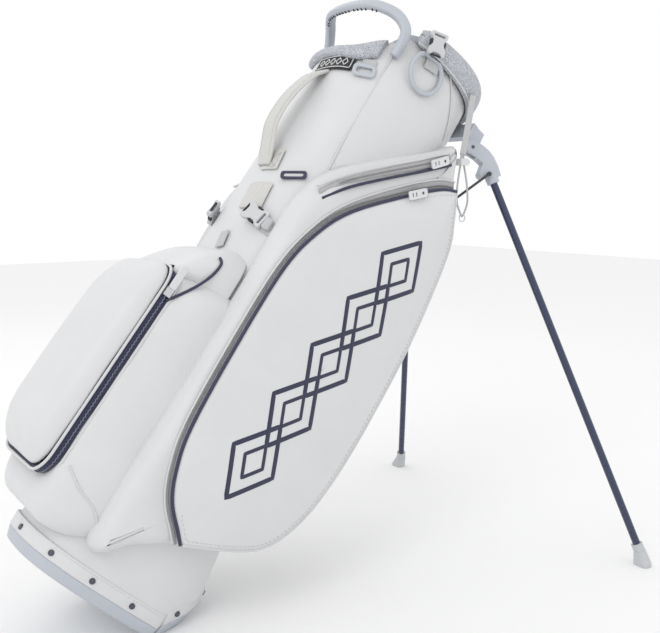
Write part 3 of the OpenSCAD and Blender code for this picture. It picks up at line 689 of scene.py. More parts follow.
SKIRT_TOP = 236
SKIRT_COUNT, SKIRT_STEPS = 160, 12
HEM_PROFILE = [(-1.5, 0.2), (0.4, 0.2), (1.0, 1.2), (1.1, 17), (0.8, 18.2), (-1.5, 18.6)]
HEM_STITCH_HEIGHT = 15


def skirt_ring(t, grow):
    """A ring of the skirt, from its hem at t = 0 to its top at t = 1."""
    made = []
    for i in range(SKIRT_COUNT):
        angle = 360 * i / SKIRT_COUNT
        low = hem_z(section_point(SKIRT, 40, angle).x) + 0.4
        p = section_point(SKIRT, mix(low, SKIRT_TOP, t), angle)
        ripple = skirt_ripple(p, angle)
        made.append(section_point(SKIRT, p.z, angle, grow + ripple * (1 - ease((t - 0.7) / 0.3))))
    return made


def hem_strip(name, low_x, high_x, body, replaces=()):
    """The cloth band above the moulding, for one side of the heel's hinge line."""
    angles = [360 * ((i + 96) % 192) / 192 for i in range(193)]
    chosen = [a for a in angles if low_x <= base_oval(0, a)[0] <= high_x]
    if low_x > 0:
        chosen = sorted([a - 360 if a > 180 else a for a in chosen])
    rows = []
    for angle in chosen:
        hem = hem_z(base_oval(0, angle)[0])
        row = []
        for out, up in HEM_PROFILE:
            x, y = base_oval(out, angle)
            row.append(Vector((x - 0.02 * up, y, hem + up)))
        rows.append(row)
    mesh_piece(name, *grid(rows), white, body, slot="bag_fabric", replaces=replaces)


def make_skirt():
    shares = [k / SKIRT_STEPS for k in range(SKIRT_STEPS + 1)]
    rows = double_wall([skirt_ring(t, -0.2) for t in shares], [skirt_ring(t, -2.0) for t in shares])
    skirt = mesh_piece("skirt_cloth", *grid(rows, loop_rows=True), white, body=None, slot="bag_fabric",
                       replaces=["hem_skirt"])
    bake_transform(skirt)
    hem_strip("hem_band", -BEYOND_BASE, HEEL_HINGE[0] + 1, "bag")
    hem_strip("heel_hem_band", HEEL_HINGE[0] + 3, BEYOND_BASE, "heel", ["heel_hem"])
    ring = [base_oval(1.0, 1.2 * i) for i in range(300)]
    for name, low, high, body in (("hem_stitches", -BEYOND_BASE, 62, "bag"),
                                  ("heel_stitches", 70, BEYOND_BASE, "heel")):
        spots = [Vector((x, y, hem_z(x) + HEM_STITCH_HEIGHT)) for x, y in ring if low <= x <= high]
        stitches(name, spots, body)


def stitches(name, spots, body="bag", length=2.6, radius=0.38, material=None):
    """A run of separate stitches; each lies along the way to the next spot."""
    points, faces = [], []
    for p, q in zip(spots, spots[1:]):
        gap = (q - p).length
        if gap < 0.5 or gap > 9:
            continue
        along = (q - p).normalized()
        side = along.orthogonal().normalized()
        up = along.cross(side)
        start = len(points)
        for k, (reach, r) in enumerate([(0.0, 0.15), (0.15, 1), (0.85, 1), (1.0, 0.15)]):
            centre = p + along * min(length, gap * 0.75) * reach
            points += [centre + (side * math.cos(a) + up * math.sin(a)) * radius * r
                       for a in [math.tau * j / 5 for j in range(5)]]
        for k in range(3):
            for j in range(5):
                a, b = start + 5 * k, start + 5 * (k + 1)
                faces.append((a + j, a + (j + 1) % 5, b + (j + 1) % 5, b + j))
        faces.append(tuple(start + j for j in range(4, -1, -1)))
        faces.append(tuple(start + 15 + j for j in range(5)))
    return mesh_piece(name, points, faces, material or thread, body)


def body_dent(p, angle):
    """Where the body's cloth sinks between its stay rods and creases a little."""
    between = 0.6 * math.cos(math.radians((angle - 38) * 360 / 104))
    crease = noise.noise(Vector((angle / 26, p.z / 95, 3.1))) * 2.0 + noise.noise(p / 38) * 0.7
    return (between + crease) * ease((p.z - 60) / 80) * ease((840 - p.z) / 60)


def make_body():
    count, steps = 144, 64

    def ring(t, grow):
        made = []
        for i in range(count):
            angle = 360 * i / count
            x = cuff_x(angle)
            low = max(36, ground_z(x) + 32)
            high = rim_z(x) - 1 - (13 if x < -100 else pad_drop(x)) + 3
            p = body_point(mix(low, high, t), angle)
            made.append(body_point(p.z, angle, grow + body_dent(p, angle)))
        return made
    shares = [k / steps for k in range(steps + 1)]
    rows = double_wall([ring(t, -0.2) for t in shares], [ring(t, -3.0) for t in shares])
    mesh_piece("body_cloth", *grid(rows, loop_rows=True), white, slot="bag_fabric", replaces=["body_shell"])
    seams = {"right": [(-126, 838), (-123, 697), (-118, 600)], "left": [(126, 838), (123, 697), (118, 600)],
             "fold_right": [(-84, 866), (-68, 833), (-54, 796)],
             "fold_left": [(84, 866), (68, 833), (54, 796)]}
    for name, marks in seams.items():
        stops = even(curve_through([(a, 0, z) for a, z in marks], 10), 60)
        path = [wall_point(stop.z, stop.x, 0.9) for stop in stops]
        outwards = [wall_point(stop.z, stop.x, 9) - wall_point(stop.z, stop.x, 0) for stop in stops]
        rows = sweep(path, outwards, 1.6, 2.6, 8)
        mesh_piece(f"body_seam_{name}", *grid(rows), white_trim, slot="bag_fabric")


def wall_point(z, angle, out):
    """A point out from the body's creased cloth."""
    return body_point(z, angle, out + body_dent(body_point(z, angle), angle))


def turned(x, y, turn):
    c, d = math.cos(math.radians(turn)), math.sin(math.radians(turn))
    return x * c - y * d, x * d + y * c


def wall_spot(angle, z, along, up, out):
    """A point a distance along the wall and up from a place on it."""
    p = body_point(z + up, angle)
    step = 0.5 if along > 0 else -0.5
    gone, at = 0.0, angle
    while gone < abs(along):
        q = body_point(z + up, at + step)
        length = (q - p).length
        if gone + length >= abs(along):
            share = (abs(along) - gone) / max(1e-9, length)
            at += step * share
            break
        gone, at, p = gone + length, at + step, q
    return wall_point(z + up, at, out)


def wall_patch(name, outline, thickness, angle, z, out, turn, material, crown=0.0, body="bag", **more):
    """A soft patch that follows the wall, softly domed by crown."""
    rows = []
    for share, height in [(1, 0), (1.0, thickness * 0.75), (0.97, thickness),
                          (0.8, thickness + crown * 0.4),
                          (0.5, thickness + crown * 0.8), (0.2, thickness + crown),
                          (0.02, thickness + crown)]:
        row = []
        for x, y in outline:
            along, up = [v * share for v in turned(x, y, turn)]
            row.append(wall_spot(angle, z, along, up, out + height))
        rows.append(row)
    return mesh_piece(name, *grid(rows), material, body, flat_angle=60, **more)


def dense(outline, count):
    """The same flat outline with evenly spaced points."""
    return [(p.x, p.y) for p in even([Vector((x, y, 0)) for x, y in outline], count, True)]


# ---- Collar

def smooth_profile(points, steps=3):
    return curve_through([Vector((x, y, 0)) for x, y in points], steps, closed=True)


def rim_pad_piece(name, profile, angle_from, angle_to, steps, replaces):
    rows = []
    for i in range(steps + 1):
        t = i / steps
        angle = mix(angle_from, angle_to, t)
        end = min(t, 1 - t) * steps
        squeeze = 0.72 + 0.28 * min(1, end / 2.5)
        rows.append([rim_point(angle, -1 + (p.x + 1) * squeeze,
                               -12 + (p.y + 12) * squeeze) for p in profile])
    return mesh_piece(name, *grid(rows), mesh_cloth, slot="mesh_pad", replaces=replaces)


def make_collar():
    pad = smooth_profile([(-14, -19), (-14.5, -8), (-12, 0), (-6, 4.2), (1, 5.2), (8, 3), (12, -4),
                          (13, -15),
                          (11, -26), (7, 0.6 - PAD_HEIGHT), (1.5, -PAD_HEIGHT), (0.8, -24), (-2.5, -7),
                          (-9, -7),
                          (-11, -17)])
    rim = rim_pad_piece("rim_pad_mesh", pad, -117, 117, 120, ["rim_pad"])
    rows = []
    for i in range(51):
        angle = mix(135, 225, i / 50)
        x = cuff_x(angle)
        away = ease((abs(angle - 180) - 8) / 34)
        top = RIM_SPINE + 27 * ease((x + 136) / 34)
        drop = 14 + 12 * away
        profile = smooth_profile([(-14, -14), (-14.5, -6), (-11, 1), (-4, 4), (4, 3), (9.5, -2),
                                  (11, -drop * 0.6),
                                  (8.5, -drop), (1.5, -drop - 1), (-2.5, -7), (-9, -7), (-11, -13)])
        rows.append([body_point(top + p.y, angle, p.x) for p in profile])
    spine_piece = mesh_piece("spine_pad_mesh", *grid(rows), mesh_cloth, slot="mesh_pad",
                             replaces=["spine_pad"])
    line = [rim_point(mix(-115, 115, i / 170), 8.4, -PAD_HEIGHT + 1) for i in range(171)]
    tube("rim_binding", line, 1.2, white_trim, across=(0, 0, 1), slot="bag_fabric")


HANDLE_HALF = [(-96, 90, 822), (-99, 95, 842), (-105, 94, 862), (-122, 82, 875), (-142, 60, 877),
               (-154, 36, 874),
               (-158, 0, 872)]


HANDLE_POINTS, HANDLE_SLOTS = 90, 17


def make_carry_handle():
    half = [Vector(p) for p in HANDLE_HALF]
    path = even(curve_through(half + [Vector((p.x, -p.y, p.z)) for p in reversed(half[:-1])], 8),
                HANDLE_POINTS)

    def girth(t):
        middle = ease((abs(t - 0.5) - 0.3) / 0.12)
        return mix(1.0, 0.94, middle)
    rows = sweep(path, (0.35, 0, 1), 15.5, 11.5, 20, 3.4, taper=girth)
    mesh_piece("carry_handle_bow", *grid(rows), plastic, slot="grey_moulding", replaces=["carry_handle"])
    ribs = []
    for k in range(HANDLE_SLOTS):
        at = 0.30 + 0.40 * k / (HANDLE_SLOTS - 1)
        i = int(at * (HANDLE_POINTS - 1))
        along = (path[i + 1] - path[i - 1]).normalized()
        inward = Vector((1, 0, -0.35)).normalized()
        inward = (inward - along * inward.dot(along)).normalized()
        across = along.cross(inward)
        ribs.append((path[i] + inward * 3.8 - across * 4.4, along, across, inward))
    points, faces = [], []
    for centre, along, across, inward in ribs:
        start = len(points)
        for sx, sy, sz in [(a, b, c) for a in (-1, 1) for b in (-1, 1) for c in (-1, 1)]:
            points.append(centre + along * sx * 0.9 + across * sy * 3.6 + inward * sz * 2.0)
        for f in [(0, 1, 3, 2), (4, 6, 7, 5), (0, 4, 5, 1), (2, 3, 7, 6), (0, 2, 6, 4), (1, 5, 7, 3)]:
            faces.append(tuple(start + v for v in f))
    # painted shade: dark blocks fill the handle's slots
    slots = mesh_piece("carry_handle_slot_shade", points, faces, recess_shade_plastic, slot="grey_moulding",
                       smooth=False)
    bevel(slots, 0.3, 2)


# ---- Side pockets

SIDE_OUTLINE = [(-87, 84), (-40, 99), (5, 120), (78, 147), (122, 172), (150, 225), (163, 300),
                (164, 400), (158, 520), (136, 650), (98, 730), (62, 788), (42, 770), (-36, 684),
                (-97, 590), (-96, 440), (-91, 300)]
LEAF_FRONT = [(88, 730), (62, 713), (12, 660), (-42, 594), (-68, 540), (-81, 475), (-79, 360),
              (-71, 250), (-57, 198), (-38, 163), (-10, 137), (4, 124)]
LEAF_REAR = [(78, 150), (120, 177), (146, 228), (158, 300), (159, 400), (152, 520), (131, 648),
             (108, 698)]


def flat_curve(points, steps, count, closed):
    return even(curve_through([Vector((x, 0, z)) for x, z in points], steps, closed), count, closed)


def outward(line):
    """Unit normals in x and z that point out of a closed line."""
    n = len(line)
    made = []
    for i in range(n):
        d = (line[(i + 1) % n] - line[i - 1]).normalized()
        made.append(Vector((d.z, 0, -d.x)))
    area = sum(a.x * b.z - b.x * a.z for a, b in zip(line, line[1:] + line[:1]))
    return made if area > 0 else [-m for m in made]


def nearest_on(spine, p):
    """The point of a spine that is nearest to p."""
    best = None
    for a, b in zip(spine, spine[1:]):
        d = b - a
        t = min(1, max(0, (p - a).dot(d) / d.length_squared))
        q = a + d * t
        if best is None or (q - p).length < (best - p).length:
            best = q
    return best


def pocket_bulge(x, z):
    """How far the filled pocket pushes its outer panel out."""
    across = (x - 45) / 120
    along = (z - 400) / 330
    return max(0.0, 1 - across * across - along * along)


POCKET_ROOT_X = 66


def make_side_pocket(name, side):
    line = flat_curve(SIDE_OUTLINE, 6, 190, True)
    out = outward(line)
    spine = [Vector((10, 0, 190)), Vector((45, 0, 400)), Vector((45, 0, 640))]
    foot = []
    for p in line:
        x = min(p.x, POCKET_ROOT_X)
        sink = max(0, p.x - POCKET_ROOT_X) * 0.12
        foot.append(Vector((x, side * (body_half_width(x, p.z) - 2.5), p.z - sink)))
    rows = [foot]
    for outset, depth in [(7, 92), (4, 99), (0.5, 106), (-4, 111.5), (-9, 115), (-16, 117)]:
        row = []
        for p, n in zip(line, out):
            front = ease((-p.x + 20) / 80)
            q = p + n * (outset if outset < 0 else outset * front)
            row.append(Vector((q.x, side * (depth - (1 - front) * max(0, 99 - depth) * 0.2), q.z)))
        rows.append(row)
    for share in (0.3, 0.65, 1.0):
        row = []
        for p, n in zip(line, out):
            q = (p - n * 16).lerp(nearest_on(spine, p), share)
            row.append(Vector((q.x, side * (117 + 0.6 * share), q.z)))
        rows.append(row)
    points, faces = grid(rows, caps=False)
    points = soften(points, 1.1, 60, 2.0 * side)
    mesh_piece(f"side_pocket_{name}_cloth", points, faces, white, slot="bag_fabric",
               replaces=[f"side_pocket_{name}"])


def leaf_depth(x, z, share):
    crown = 1 - (1 - share) ** 2.2
    unevenness = 1.1 * noise.noise(Vector((x, 9, z)) / 90)
    return SIDE_FACE + 10.2 + crown * (7.5 + 2.0 * pocket_bulge(x, z)) + unevenness


def leaf_rear(steps):
    """The leaf's rear edge, from the foot of its front edge up to its top."""
    marks = [LEAF_FRONT[-1], *LEAF_REAR, LEAF_FRONT[0]]
    return curve_through([Vector((x, 0, z)) for x, z in marks], steps)


def leaf_line(count=200):
    front = curve_through([Vector((x, 0, z)) for x, z in LEAF_FRONT], 5)
    return even(front[:-1] + leaf_rear(5)[:-1], count, True)


LEAF_LINE = leaf_line()
LEAF_SPINE = [Vector((25, 0, 215)), Vector((40, 0, 400)), Vector((70, 0, 560)), Vector((90, 0, 655))]


def leaf_surface(x, z, side):
    """A point on the leaf panel's face."""
    p = Vector((x, 0, z))
    edge = min((p - q).length for q in LEAF_LINE)
    reach = (p - nearest_on(LEAF_SPINE, p)).length
    share = edge / max(1e-6, edge + reach)
    return Vector((x, side * leaf_depth(x, z, share), z))


def make_leaf(name, side):
    line = LEAF_LINE
    out = outward(line)
    rows = []
    for outset, lift in [(-1.5, -0.5), (0, 1), (0.3, 5), (-0.6, 8.6)]:
        depth = SIDE_FACE + lift
        shifted = [p + n * outset for p, n in zip(line, out)]
        rows.append([Vector((q.x, side * depth, q.z)) for q in shifted])
    for share in (0.02, 0.06, 0.12, 0.2, 0.3, 0.42, 0.55, 0.7, 0.85, 1.0):
        row = []
        for p, n in zip(line, out):
            q = (p - n * 1.6).lerp(nearest_on(LEAF_SPINE, p), share)
            row.append(Vector((q.x, side * leaf_depth(q.x, q.z, share), q.z)))
        rows.append(row)
    mesh_piece(f"leaf_panel_{name}", *grid(rows, caps=False), white, slot="bag_fabric",
               replaces=[f"side_panel_{name}"])
    edge = [Vector((p.x + 1.2, side * (SIDE_FACE + 7.5), p.z)) for p in leaf_rear(6)]
    tube(f"leaf_edge_binding_{name}", even(edge, 160), 2.0, white_trim, slot="bag_fabric")
    spots = []
    for p, n in zip(line, out):
        q = p - n * 6
        if p.x > 20 or p.z < 150:
            spots.append(leaf_surface(q.x, q.z, side) + Vector((0, side * 0.3, 0)))
    stitches(f"leaf_stitches_{name}", even(spots, 210))


def away_at(line, i):
    """The direction away from the leaf, square to an open line in x and z at its point i."""
    d = (line[min(len(line) - 1, i + 1)] - line[max(0, i - 1)]).normalized()
    return Vector((d.z, 0, -d.x))


def offset_line(line, amount):
    """A line of points in x and z moved sideways, away from the leaf."""
    return [p + away_at(line, i) * amount for i, p in enumerate(line)]


def strip(name, line, inner, outer, depth, thickness, material, side, **more):
    """A flat tape beside a line: between two offsets, which may be functions of the share along it."""
    n = len(line)
    rows = []
    for i in range(n):
        t = i / (n - 1)
        away = away_at(line, i)
        a, b = inner(t), outer(t)
        y = depth(t)
        row = []
        for share, lift in [(0, 0), (0.02, thickness), (0.33, thickness + 0.25), (0.5, thickness + 0.3),
                            (0.67, thickness + 0.25), (0.98, thickness), (1, 0)]:
            q = line[i] + away * mix(a, b, share)
            row.append(Vector((q.x, side * (y + lift), q.z)))
        rows.append(row)
    return mesh_piece(name, *grid(rows), material, slot="zip_tape", **more)


COIL_PITCH, COIL_WIDTH = 2.2, 1.5


def coil(name, line, offset, depth, side, material):
    """A zip's coil: a wavy bead down the middle of its tape."""
    centre = offset_line(line, offset)
    total = sum((b - a).length for a, b in zip(centre, centre[1:]))
    path = even(centre, int(total / COIL_PITCH * 2))
    wavy = []
    for i, p in enumerate(path):
        swing = 0.9 if i % 2 else -0.9
        wavy.append(Vector((p.x, side * depth, p.z)) + away_at(path, i) * swing)
    rows = sweep(wavy, (0, 1, 0), COIL_WIDTH, COIL_WIDTH, 6)
    mesh_piece(name, *grid(rows), material, slot="zip_tape")


UPPER_ZIP = [(54, 763), (19, 724), (-29, 672), (-68, 627), (-92, 590)]


def tape_reach(share):
    """How far the leaf's zip tape shows past the leaf: widest near its top."""
    return mix(15.5, 8.0, ease((share - 0.1) / 0.35))


def make_side_zips(name, side):
    front = flat_curve(LEAF_FRONT, 6, 150, False)
    upper = flat_curve(UPPER_ZIP, 6, 60, False)
    strip(f"leaf_zip_tape_{name}", front, lambda t: 2.0, tape_reach,
          lambda t: SIDE_FACE - 0.6, 1.6, zip_tape, side, replaces=[f"side_zip_tape_{name}"])
    coil(f"leaf_zip_coil_{name}", front[:118], 6.5, SIDE_FACE + 1.4, side, coil_grey)
    navy = [Vector((p.x, side * (SIDE_FACE + 8.3), p.z)) for p in offset_line(front, 1.2)]
    tube(f"leaf_piping_{name}", navy, 2.3, navy_cloth, slot="navy_trim", replaces=[f"side_piping_{name}"])
    last = len(front) - 1
    tape_edge = [p + away_at(front, i) * (tape_reach(i / last) - 0.4) for i, p in enumerate(front)]
    lip = [Vector((q.x, side * (SIDE_FACE + 1.2), q.z)) for q in tape_edge]
    tube(f"leaf_zip_lip_{name}", even(lip, 120), 1.5, white_trim, slot="bag_fabric")
    strip(f"upper_zip_tape_{name}", upper, lambda t: -6.5 + 4 * t, lambda t: 6.5 - 2.5 * t,
          lambda t: SIDE_FACE - 0.4 - 4 * ease((t - 0.7) / 0.3), 1.6, zip_tape, side)
    coil(f"upper_zip_coil_{name}", upper[:52], 0.5, SIDE_FACE + 1.7, side, coil_grey)
    below = [Vector((p.x, side * (SIDE_FACE + 1.7 - 4 * ease((i / 59 - 0.75) / 0.25)), p.z))
             for i, p in enumerate(offset_line(upper, -8.6))]
    tube(f"upper_piping_{name}", below, 2.1, navy_cloth, slot="navy_trim")
    above = [Vector((p.x, side * (SIDE_FACE + 0.6 - 4 * ease((i / 59 - 0.75) / 0.25)), p.z))
             for i, p in enumerate(offset_line(upper, 8.2))]
    tube(f"upper_zip_lip_{name}", above, 1.8, white_trim, slot="bag_fabric")


def motif_outline(cx, cz, half_w, half_h, turn):
    """A diamond with softened corners, in x and z."""
    corners = [(half_w, 0), (0, half_h), (-half_w, 0), (0, -half_h)]
    made = []
    for k in range(4):
        a, b = corners[k], corners[(k + 1) % 4]
        for i in range(12):
            t = i / 12
            t = ease(t) * 0.25 + t * 0.75
            x, z = mix(a[0], b[0], t), mix(a[1], b[1], t)
            made.append((cx + x * math.cos(turn) - z * math.sin(turn),
                         cz + x * math.sin(turn) + z * math.cos(turn)))
    return made


def printed_band(points, faces, outline, width, side, lift=0.45):
    """Adds a closed printed line of a given width to the mesh lists, laid on the leaf's face."""
    line = [Vector((x, 0, z)) for x, z in outline]
    start = len(points)
    n = len(line)
    for i, p in enumerate(line):
        d = (line[(i + 1) % n] - line[i - 1]).normalized()
        away = Vector((d.z, 0, -d.x))
        for reach, height in ((-0.5, 0.0), (-0.42, lift), (0.42, lift), (0.5, 0.0)):
            q = p + away * width * reach
            points.append(leaf_surface(q.x, q.z, side) + Vector((0, side * height, 0)))
    for i in range(n):
        a, b = start + 4 * i, start + 4 * ((i + 1) % n)
        for j in range(3):
            faces.append((a + j, a + j + 1, b + j + 1, b + j))


def make_motif(name, side):
    """A plain run of linked diamonds along the panel."""
    points, faces = [], []
    turn = math.radians(-7)
    for k in range(5):
        cx, cz = mix(24, 66, k / 4), mix(255, 575, k / 4)
        printed_band(points, faces, motif_outline(cx, cz, 38, 56, turn), 6.5, side)
        printed_band(points, faces, motif_outline(cx, cz, 17, 25, turn), 5.0, side)
    mesh_piece(f"diamond_print_{name}", points, faces, navy_print, slot="navy_trim")


# ---- Ball pocket and valuables pocket

def box_ring(x, half, low, high, radius, count=160):
    """A rounded rectangle in y and z at x, with evenly spaced points."""
    outline = [Vector((0, y, z + (low + high) / 2)) for y,
               z in rounded_box(2 * half, high - low, radius, 8)]
    return [Vector((x, p.y, p.z)) for p in even(outline, count, True)]


def aligned(rings):
    """Starts every ring at the same direction from its centre, so the rows don't twist."""
    made = []
    for ring in rings:
        centre = sum(ring, Vector()) / len(ring)
        turns = [abs(math.atan2(p.z - centre.z, p.y - centre.y)) for p in ring]
        best = turns.index(min(turns))
        made.append(ring[best:] + ring[:best])
    return made


def box_rows(sections):
    """Aligned box rings, one per section: x, half width, low, high and corner radius."""
    return aligned([box_ring(*section) for section in sections])


def make_ball_pocket():
    sections = [(-62, 92, 80, 418, 30), (-96, 97, 66, 420, 34), (-122, 96, 62, 416, 36),
                (-146, 91, 64, 412, 36),
                (-160, 85, 72, 408, 34), (-166.5, 80, 90, 405.5, 32), (-168.5, 77.5, 113, 404, 29),
                (-168.5, 70, 121, 396, 24)]
    rows = box_rows(sections)
    for row in rows[1:5]:
        for i, p in enumerate(row):
            pull = 3.5 * ease((p.z - 120) / 120) * (1 - ease((p.z - 300) / 110))
            row[i] = Vector((p.x, p.y * (1 - pull / 95), p.z))
    points, faces = grid(rows, caps=False)
    obj = mesh_piece("ball_pocket_cloth", soften(points, 2.6, 62, 5.0), faces, white, slot="bag_fabric",
                     replaces=["ball_pocket"])
    subdivide(obj)
    band = box_rows([(-167, 74, 117, 400, 25), (-167.5, 77.6, 113.4, 403.6, 28.4),
                     (-174, 78.6, 112.6, 404.4, 29),
                     (-181, 78.0, 113.4, 403.6, 29), (-181.5, 74, 117, 400, 25)])
    mesh_piece("ball_zip_tape", *grid(band, caps=False), navy_tape, slot="navy_trim",
                     replaces=["ball_zip_band"])
    teeth = box_ring(-174.2, 79.4, 111.8, 405.2, 29.6, 336)
    wavy = [p + Vector((0.8 if i % 2 else -0.8, 0, 0)) for i, p in enumerate(teeth)]
    rows = sweep(wavy, (1, 0, 0), COIL_WIDTH, COIL_WIDTH, 6, closed=True)
    mesh_piece("ball_zip_coil", *grid(rows, loop_rows=True), coil_dark, slot="navy_trim")
    for label, x, grow in (("inner", -166.5, 0.6), ("outer", -182.5, 0.2)):
        ring = box_ring(x, 78.6 + grow, 112.4 - grow, 404.6 + grow, 29.5)
        tube(f"ball_pocket_binding_{label}", ring, 1.9, white_trim, across=(1, 0, 0), closed=True,
             slot="bag_fabric")


def make_ball_door():
    sections = [(-182, 72, 122, 398, 26), (-183, 77, 116, 403.5, 32), (-190, 77.5, 119, 404, 34),
                (-199, 76, 126, 401.5, 36),
                (-207, 71.5, 136, 394, 38), (-212.5, 64, 148, 383, 38), (-216, 50, 166, 363, 34),
                (-217.5, 34, 190, 330, 28),
                (-218, 12, 235, 285, 9)]
    rows = box_rows(sections)
    shaped = []
    for row in rows:
        made = []
        for p in row:
            taper = ease((p.z - 300) / 140) * 9 + ease((170 - p.z) / 80) * 5
            lean = (p.x + 182) / -36
            made.append(Vector((p.x + taper * max(0, lean), p.y, p.z)))
        shaped.append(made)
    points, faces = grid(shaped, caps=False)
    faces.append(tuple(len(points) - len(shaped[0]) + i for i in range(len(shaped[0]))))
    obj = mesh_piece("ball_pocket_door_cloth", soften(points, 1.4, 70, 9.0), faces, white,
                     slot="bag_fabric",
                     replaces=["ball_pocket_door"])
    subdivide(obj)


def make_valuables_pocket():
    sections = [(-104, 84, 380, 474, 34), (-124, 84, 384, 470, 34), (-140, 82, 388, 459, 30),
                (-154, 79, 392, 445, 24),
                (-167, 76, 394, 426, 14), (-176, 70, 396, 412, 7), (-178, 60, 400, 408, 3)]
    rows = box_rows(sections)
    points, faces = grid(rows, caps=False)
    obj = mesh_piece("valuables_pocket_cloth", soften(points, 1.6, 50, 12.0), faces, white,
                     slot="bag_fabric",
                     replaces=["valuables_pocket"])
    subdivide(obj)
    edge = [(-142, 78, 447), (-137, 82, 441), (-139, 84, 424), (-146, 84.5, 405), (-155, 84, 388),
            (-165, 82, 371), (-171, 80, 362)]
    for name, side in (("right", -1), ("left", 1)):
        path = even(curve_through([(x, side * y, z) for x, y, z in edge], 6), 60)
        tube(f"valuables_piping_{name}", path, 1.9, navy_cloth, slot="navy_trim")


# ---- Seams across the lower body

def make_lower_seams():
    """The seams that run from the side pocket's foot, on both sides."""
    run = [(-86, 95.5, 84), (-92, 96, 95), (-108, 97, 110), (-136, 93.5, 122), (-158, 85, 138)]
    for name, side in (("right", -1), ("left", 1)):
        path = even(curve_through([(x, side * y, z) for x, y, z in run], 8), 60)
        tube(f"lower_seam_foot_{name}", path, 1.3, white_trim, slot="bag_fabric")


# ---- Straps, patches, buckles and pulls

def make_grab_handle():
    points = [(-134, 0, 772), (-148, 0, 750), (-158, 0, 706), (-157, 0, 662), (-144, 0, 632),
              (-131.5, 0, 606)]
    path = even([p + Vector((0, -8, 0)) for p in curve_through(points, 8)], 60)
    rows = sweep(path, (0, 1, 0), 34, 6.5, 24, 3.2,
                 taper=lambda t: 1 - 0.1 * ease((abs(t - 0.5) - 0.42) / 0.08))
    mesh_piece("grab_handle_strap", *grid(rows), handle_cloth, slot="handle_fabric",
               replaces=["grab_handle"])
    for name, across in (("left", 12.8), ("right", -12.8)):
        line = [p + Vector((-3.4, across, 0)) for p in path[6:-4]]
        stitches(f"grab_handle_stitches_{name}", even(line, 46), material=handle_cloth)
    wall_patch("grab_handle_tab", dense(rounded_box(33, 32, 1.5), 56), 1.8, -173, 616, 0.6, 8, handle_cloth,
               slot="handle_fabric")
    cross = even([Vector((x, y, 0)) for x,
                  y in [(-12, -12), (12, 12), (12, -12), (-12, 12), (-12, -12), (12, -12)]], 50)
    spots = [wall_spot(-173, 616, p.x, p.y, 3.0) for p in cross]
    stitches("grab_handle_tab_stitches", spots, material=thread)


LABEL_PLACE, LABEL_TURN = (-171, 785.5), 5


def make_patches():
    wall_patch("velcro_patch", dense(rounded_box(46, 41, 3), 60), 1.6, -169.5, 558, 0.4, 6, handle_cloth,
               0.3,
               slot="handle_fabric", replaces=["glove_patch"])
    wall_patch("woven_label", dense(rounded_box(72, 25, 3), 90), 1.6, *LABEL_PLACE, 1.4, LABEL_TURN,
               label_cloth, slot="label",
               replaces=["label_patch"])
    border = dense(rounded_box(65, 19, 2), 90)
    points = [wall_spot(*LABEL_PLACE, *turned(x, y, LABEL_TURN), 3.4) for x, y in border]
    tube("woven_label_border", points, 0.65, label_thread, closed=True, slot="white_plastic", sides=6)
    for k in range(5):
        x = -22 + 11 * k
        diamond = dense([(x - 4.4, 0), (x, -6), (x + 4.4, 0), (x, 6)], 24)
        points = [wall_spot(*LABEL_PLACE, *turned(u, v, LABEL_TURN), 3.4) for u, v in diamond]
        tube(f"woven_label_diamond_{k + 1}", points, 0.7, label_thread, closed=True, slot="white_plastic",
             sides=6)
    place = on_wall(-143, 601, 1.4, 25)
    slab("slot_badge_frame", rounded_box(36, 12, 4), 2.6, place, navy_cloth,
         holes=[rounded_box(27, 4.8, 2.2)],
         slot="navy_trim", replaces=["slot_badge"])
    slab("slot_badge_inlay", rounded_box(28, 5.6, 2.4), 1.0, place, white_trim, slot="bag_fabric",
         round_mm=0.2)
    place = on_wall(-139, 783, 2.0, 14)
    slab("accessory_loop_frame", rounded_box(33, 20, 7), 3.6, place, plastic,
         holes=[rounded_box(22, 8.5, 3)],
         round_mm=1.4, slot="grey_moulding", replaces=["accessory_loop"])
    wall_patch("accessory_loop_strap", dense(rounded_box(20, 14, 1.5), 40), 1.8, -138.5, 796, 1.0, 14,
               webbing_cloth,
               slot="webbing")
    low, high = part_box("seam_tab")
    centre = from_row((low + high) / 2)
    slab("seam_tab_cloth", rounded_box(9, 28, 1.2), 2.2,
         frame_at(centre + Vector((0, -1, 0)), (1, 0, 0), (0, -1, 0)),
         webbing_cloth, slot="webbing", replaces=["seam_tab"])


BUCKLE = [(-13, -2), (-13, -7), (-11.2, -9), (-8.8, -13), (-8.4, -18), (-11, -22), (-13.2, -26),
          (-13, -32.5), (-11.5, -34), (-7.5, -34), (-6.6, -31.5), (-3, -30.2), (3, -30.2), (6.6, -31.5),
          (7.5, -34), (11.5, -34), (13, -32.5), (13.2, -26), (11, -22), (8.4, -18), (8.8, -13),
          (11.2, -9), (13, -7), (13, -2), (11.5, -0.5), (-11.5, -0.5)]


def make_buckle(name, node, angle, z, out, turn, body):
    place = on_wall(angle, z, out, turn)
    slab(f"{name}_shell", BUCKLE, 7.6, place @ Matrix.Translation((0, 0, 0.2)), buckle_plastic, body,
         holes=[rounded_box_at(0, -5.6, 17, 3.2, 1.4)], round_mm=1.3, slot="buckle_plastic",
         replaces=[node])
    # painted shade: a dark strip in the buckle's mouth and dark blocks in the windows beside its latches
    slab(f"{name}_mouth_shade", rounded_box_at(0, -33.4, 17, 1.4, 0.6), 3.6,
         place @ Matrix.Translation((0, 0, 2.4)),
         recess_shade_plastic, body, round_mm=0.2, slot="buckle_plastic")
    for k, x in enumerate((-10.4, 10.4)):
        slab(f"{name}_latch_shade_{k + 1}", rounded_box_at(x, -16.5, 3.4, 9, 1.4), 5.2,
             place @ Matrix.Translation((0, 0, 1.4)), recess_shade_plastic, body, round_mm=0.5,
             slot="buckle_plastic")


def rounded_box_at(x, y, width, height, radius):
    return [(px + x, py + y) for px, py in rounded_box(width, height, radius)]


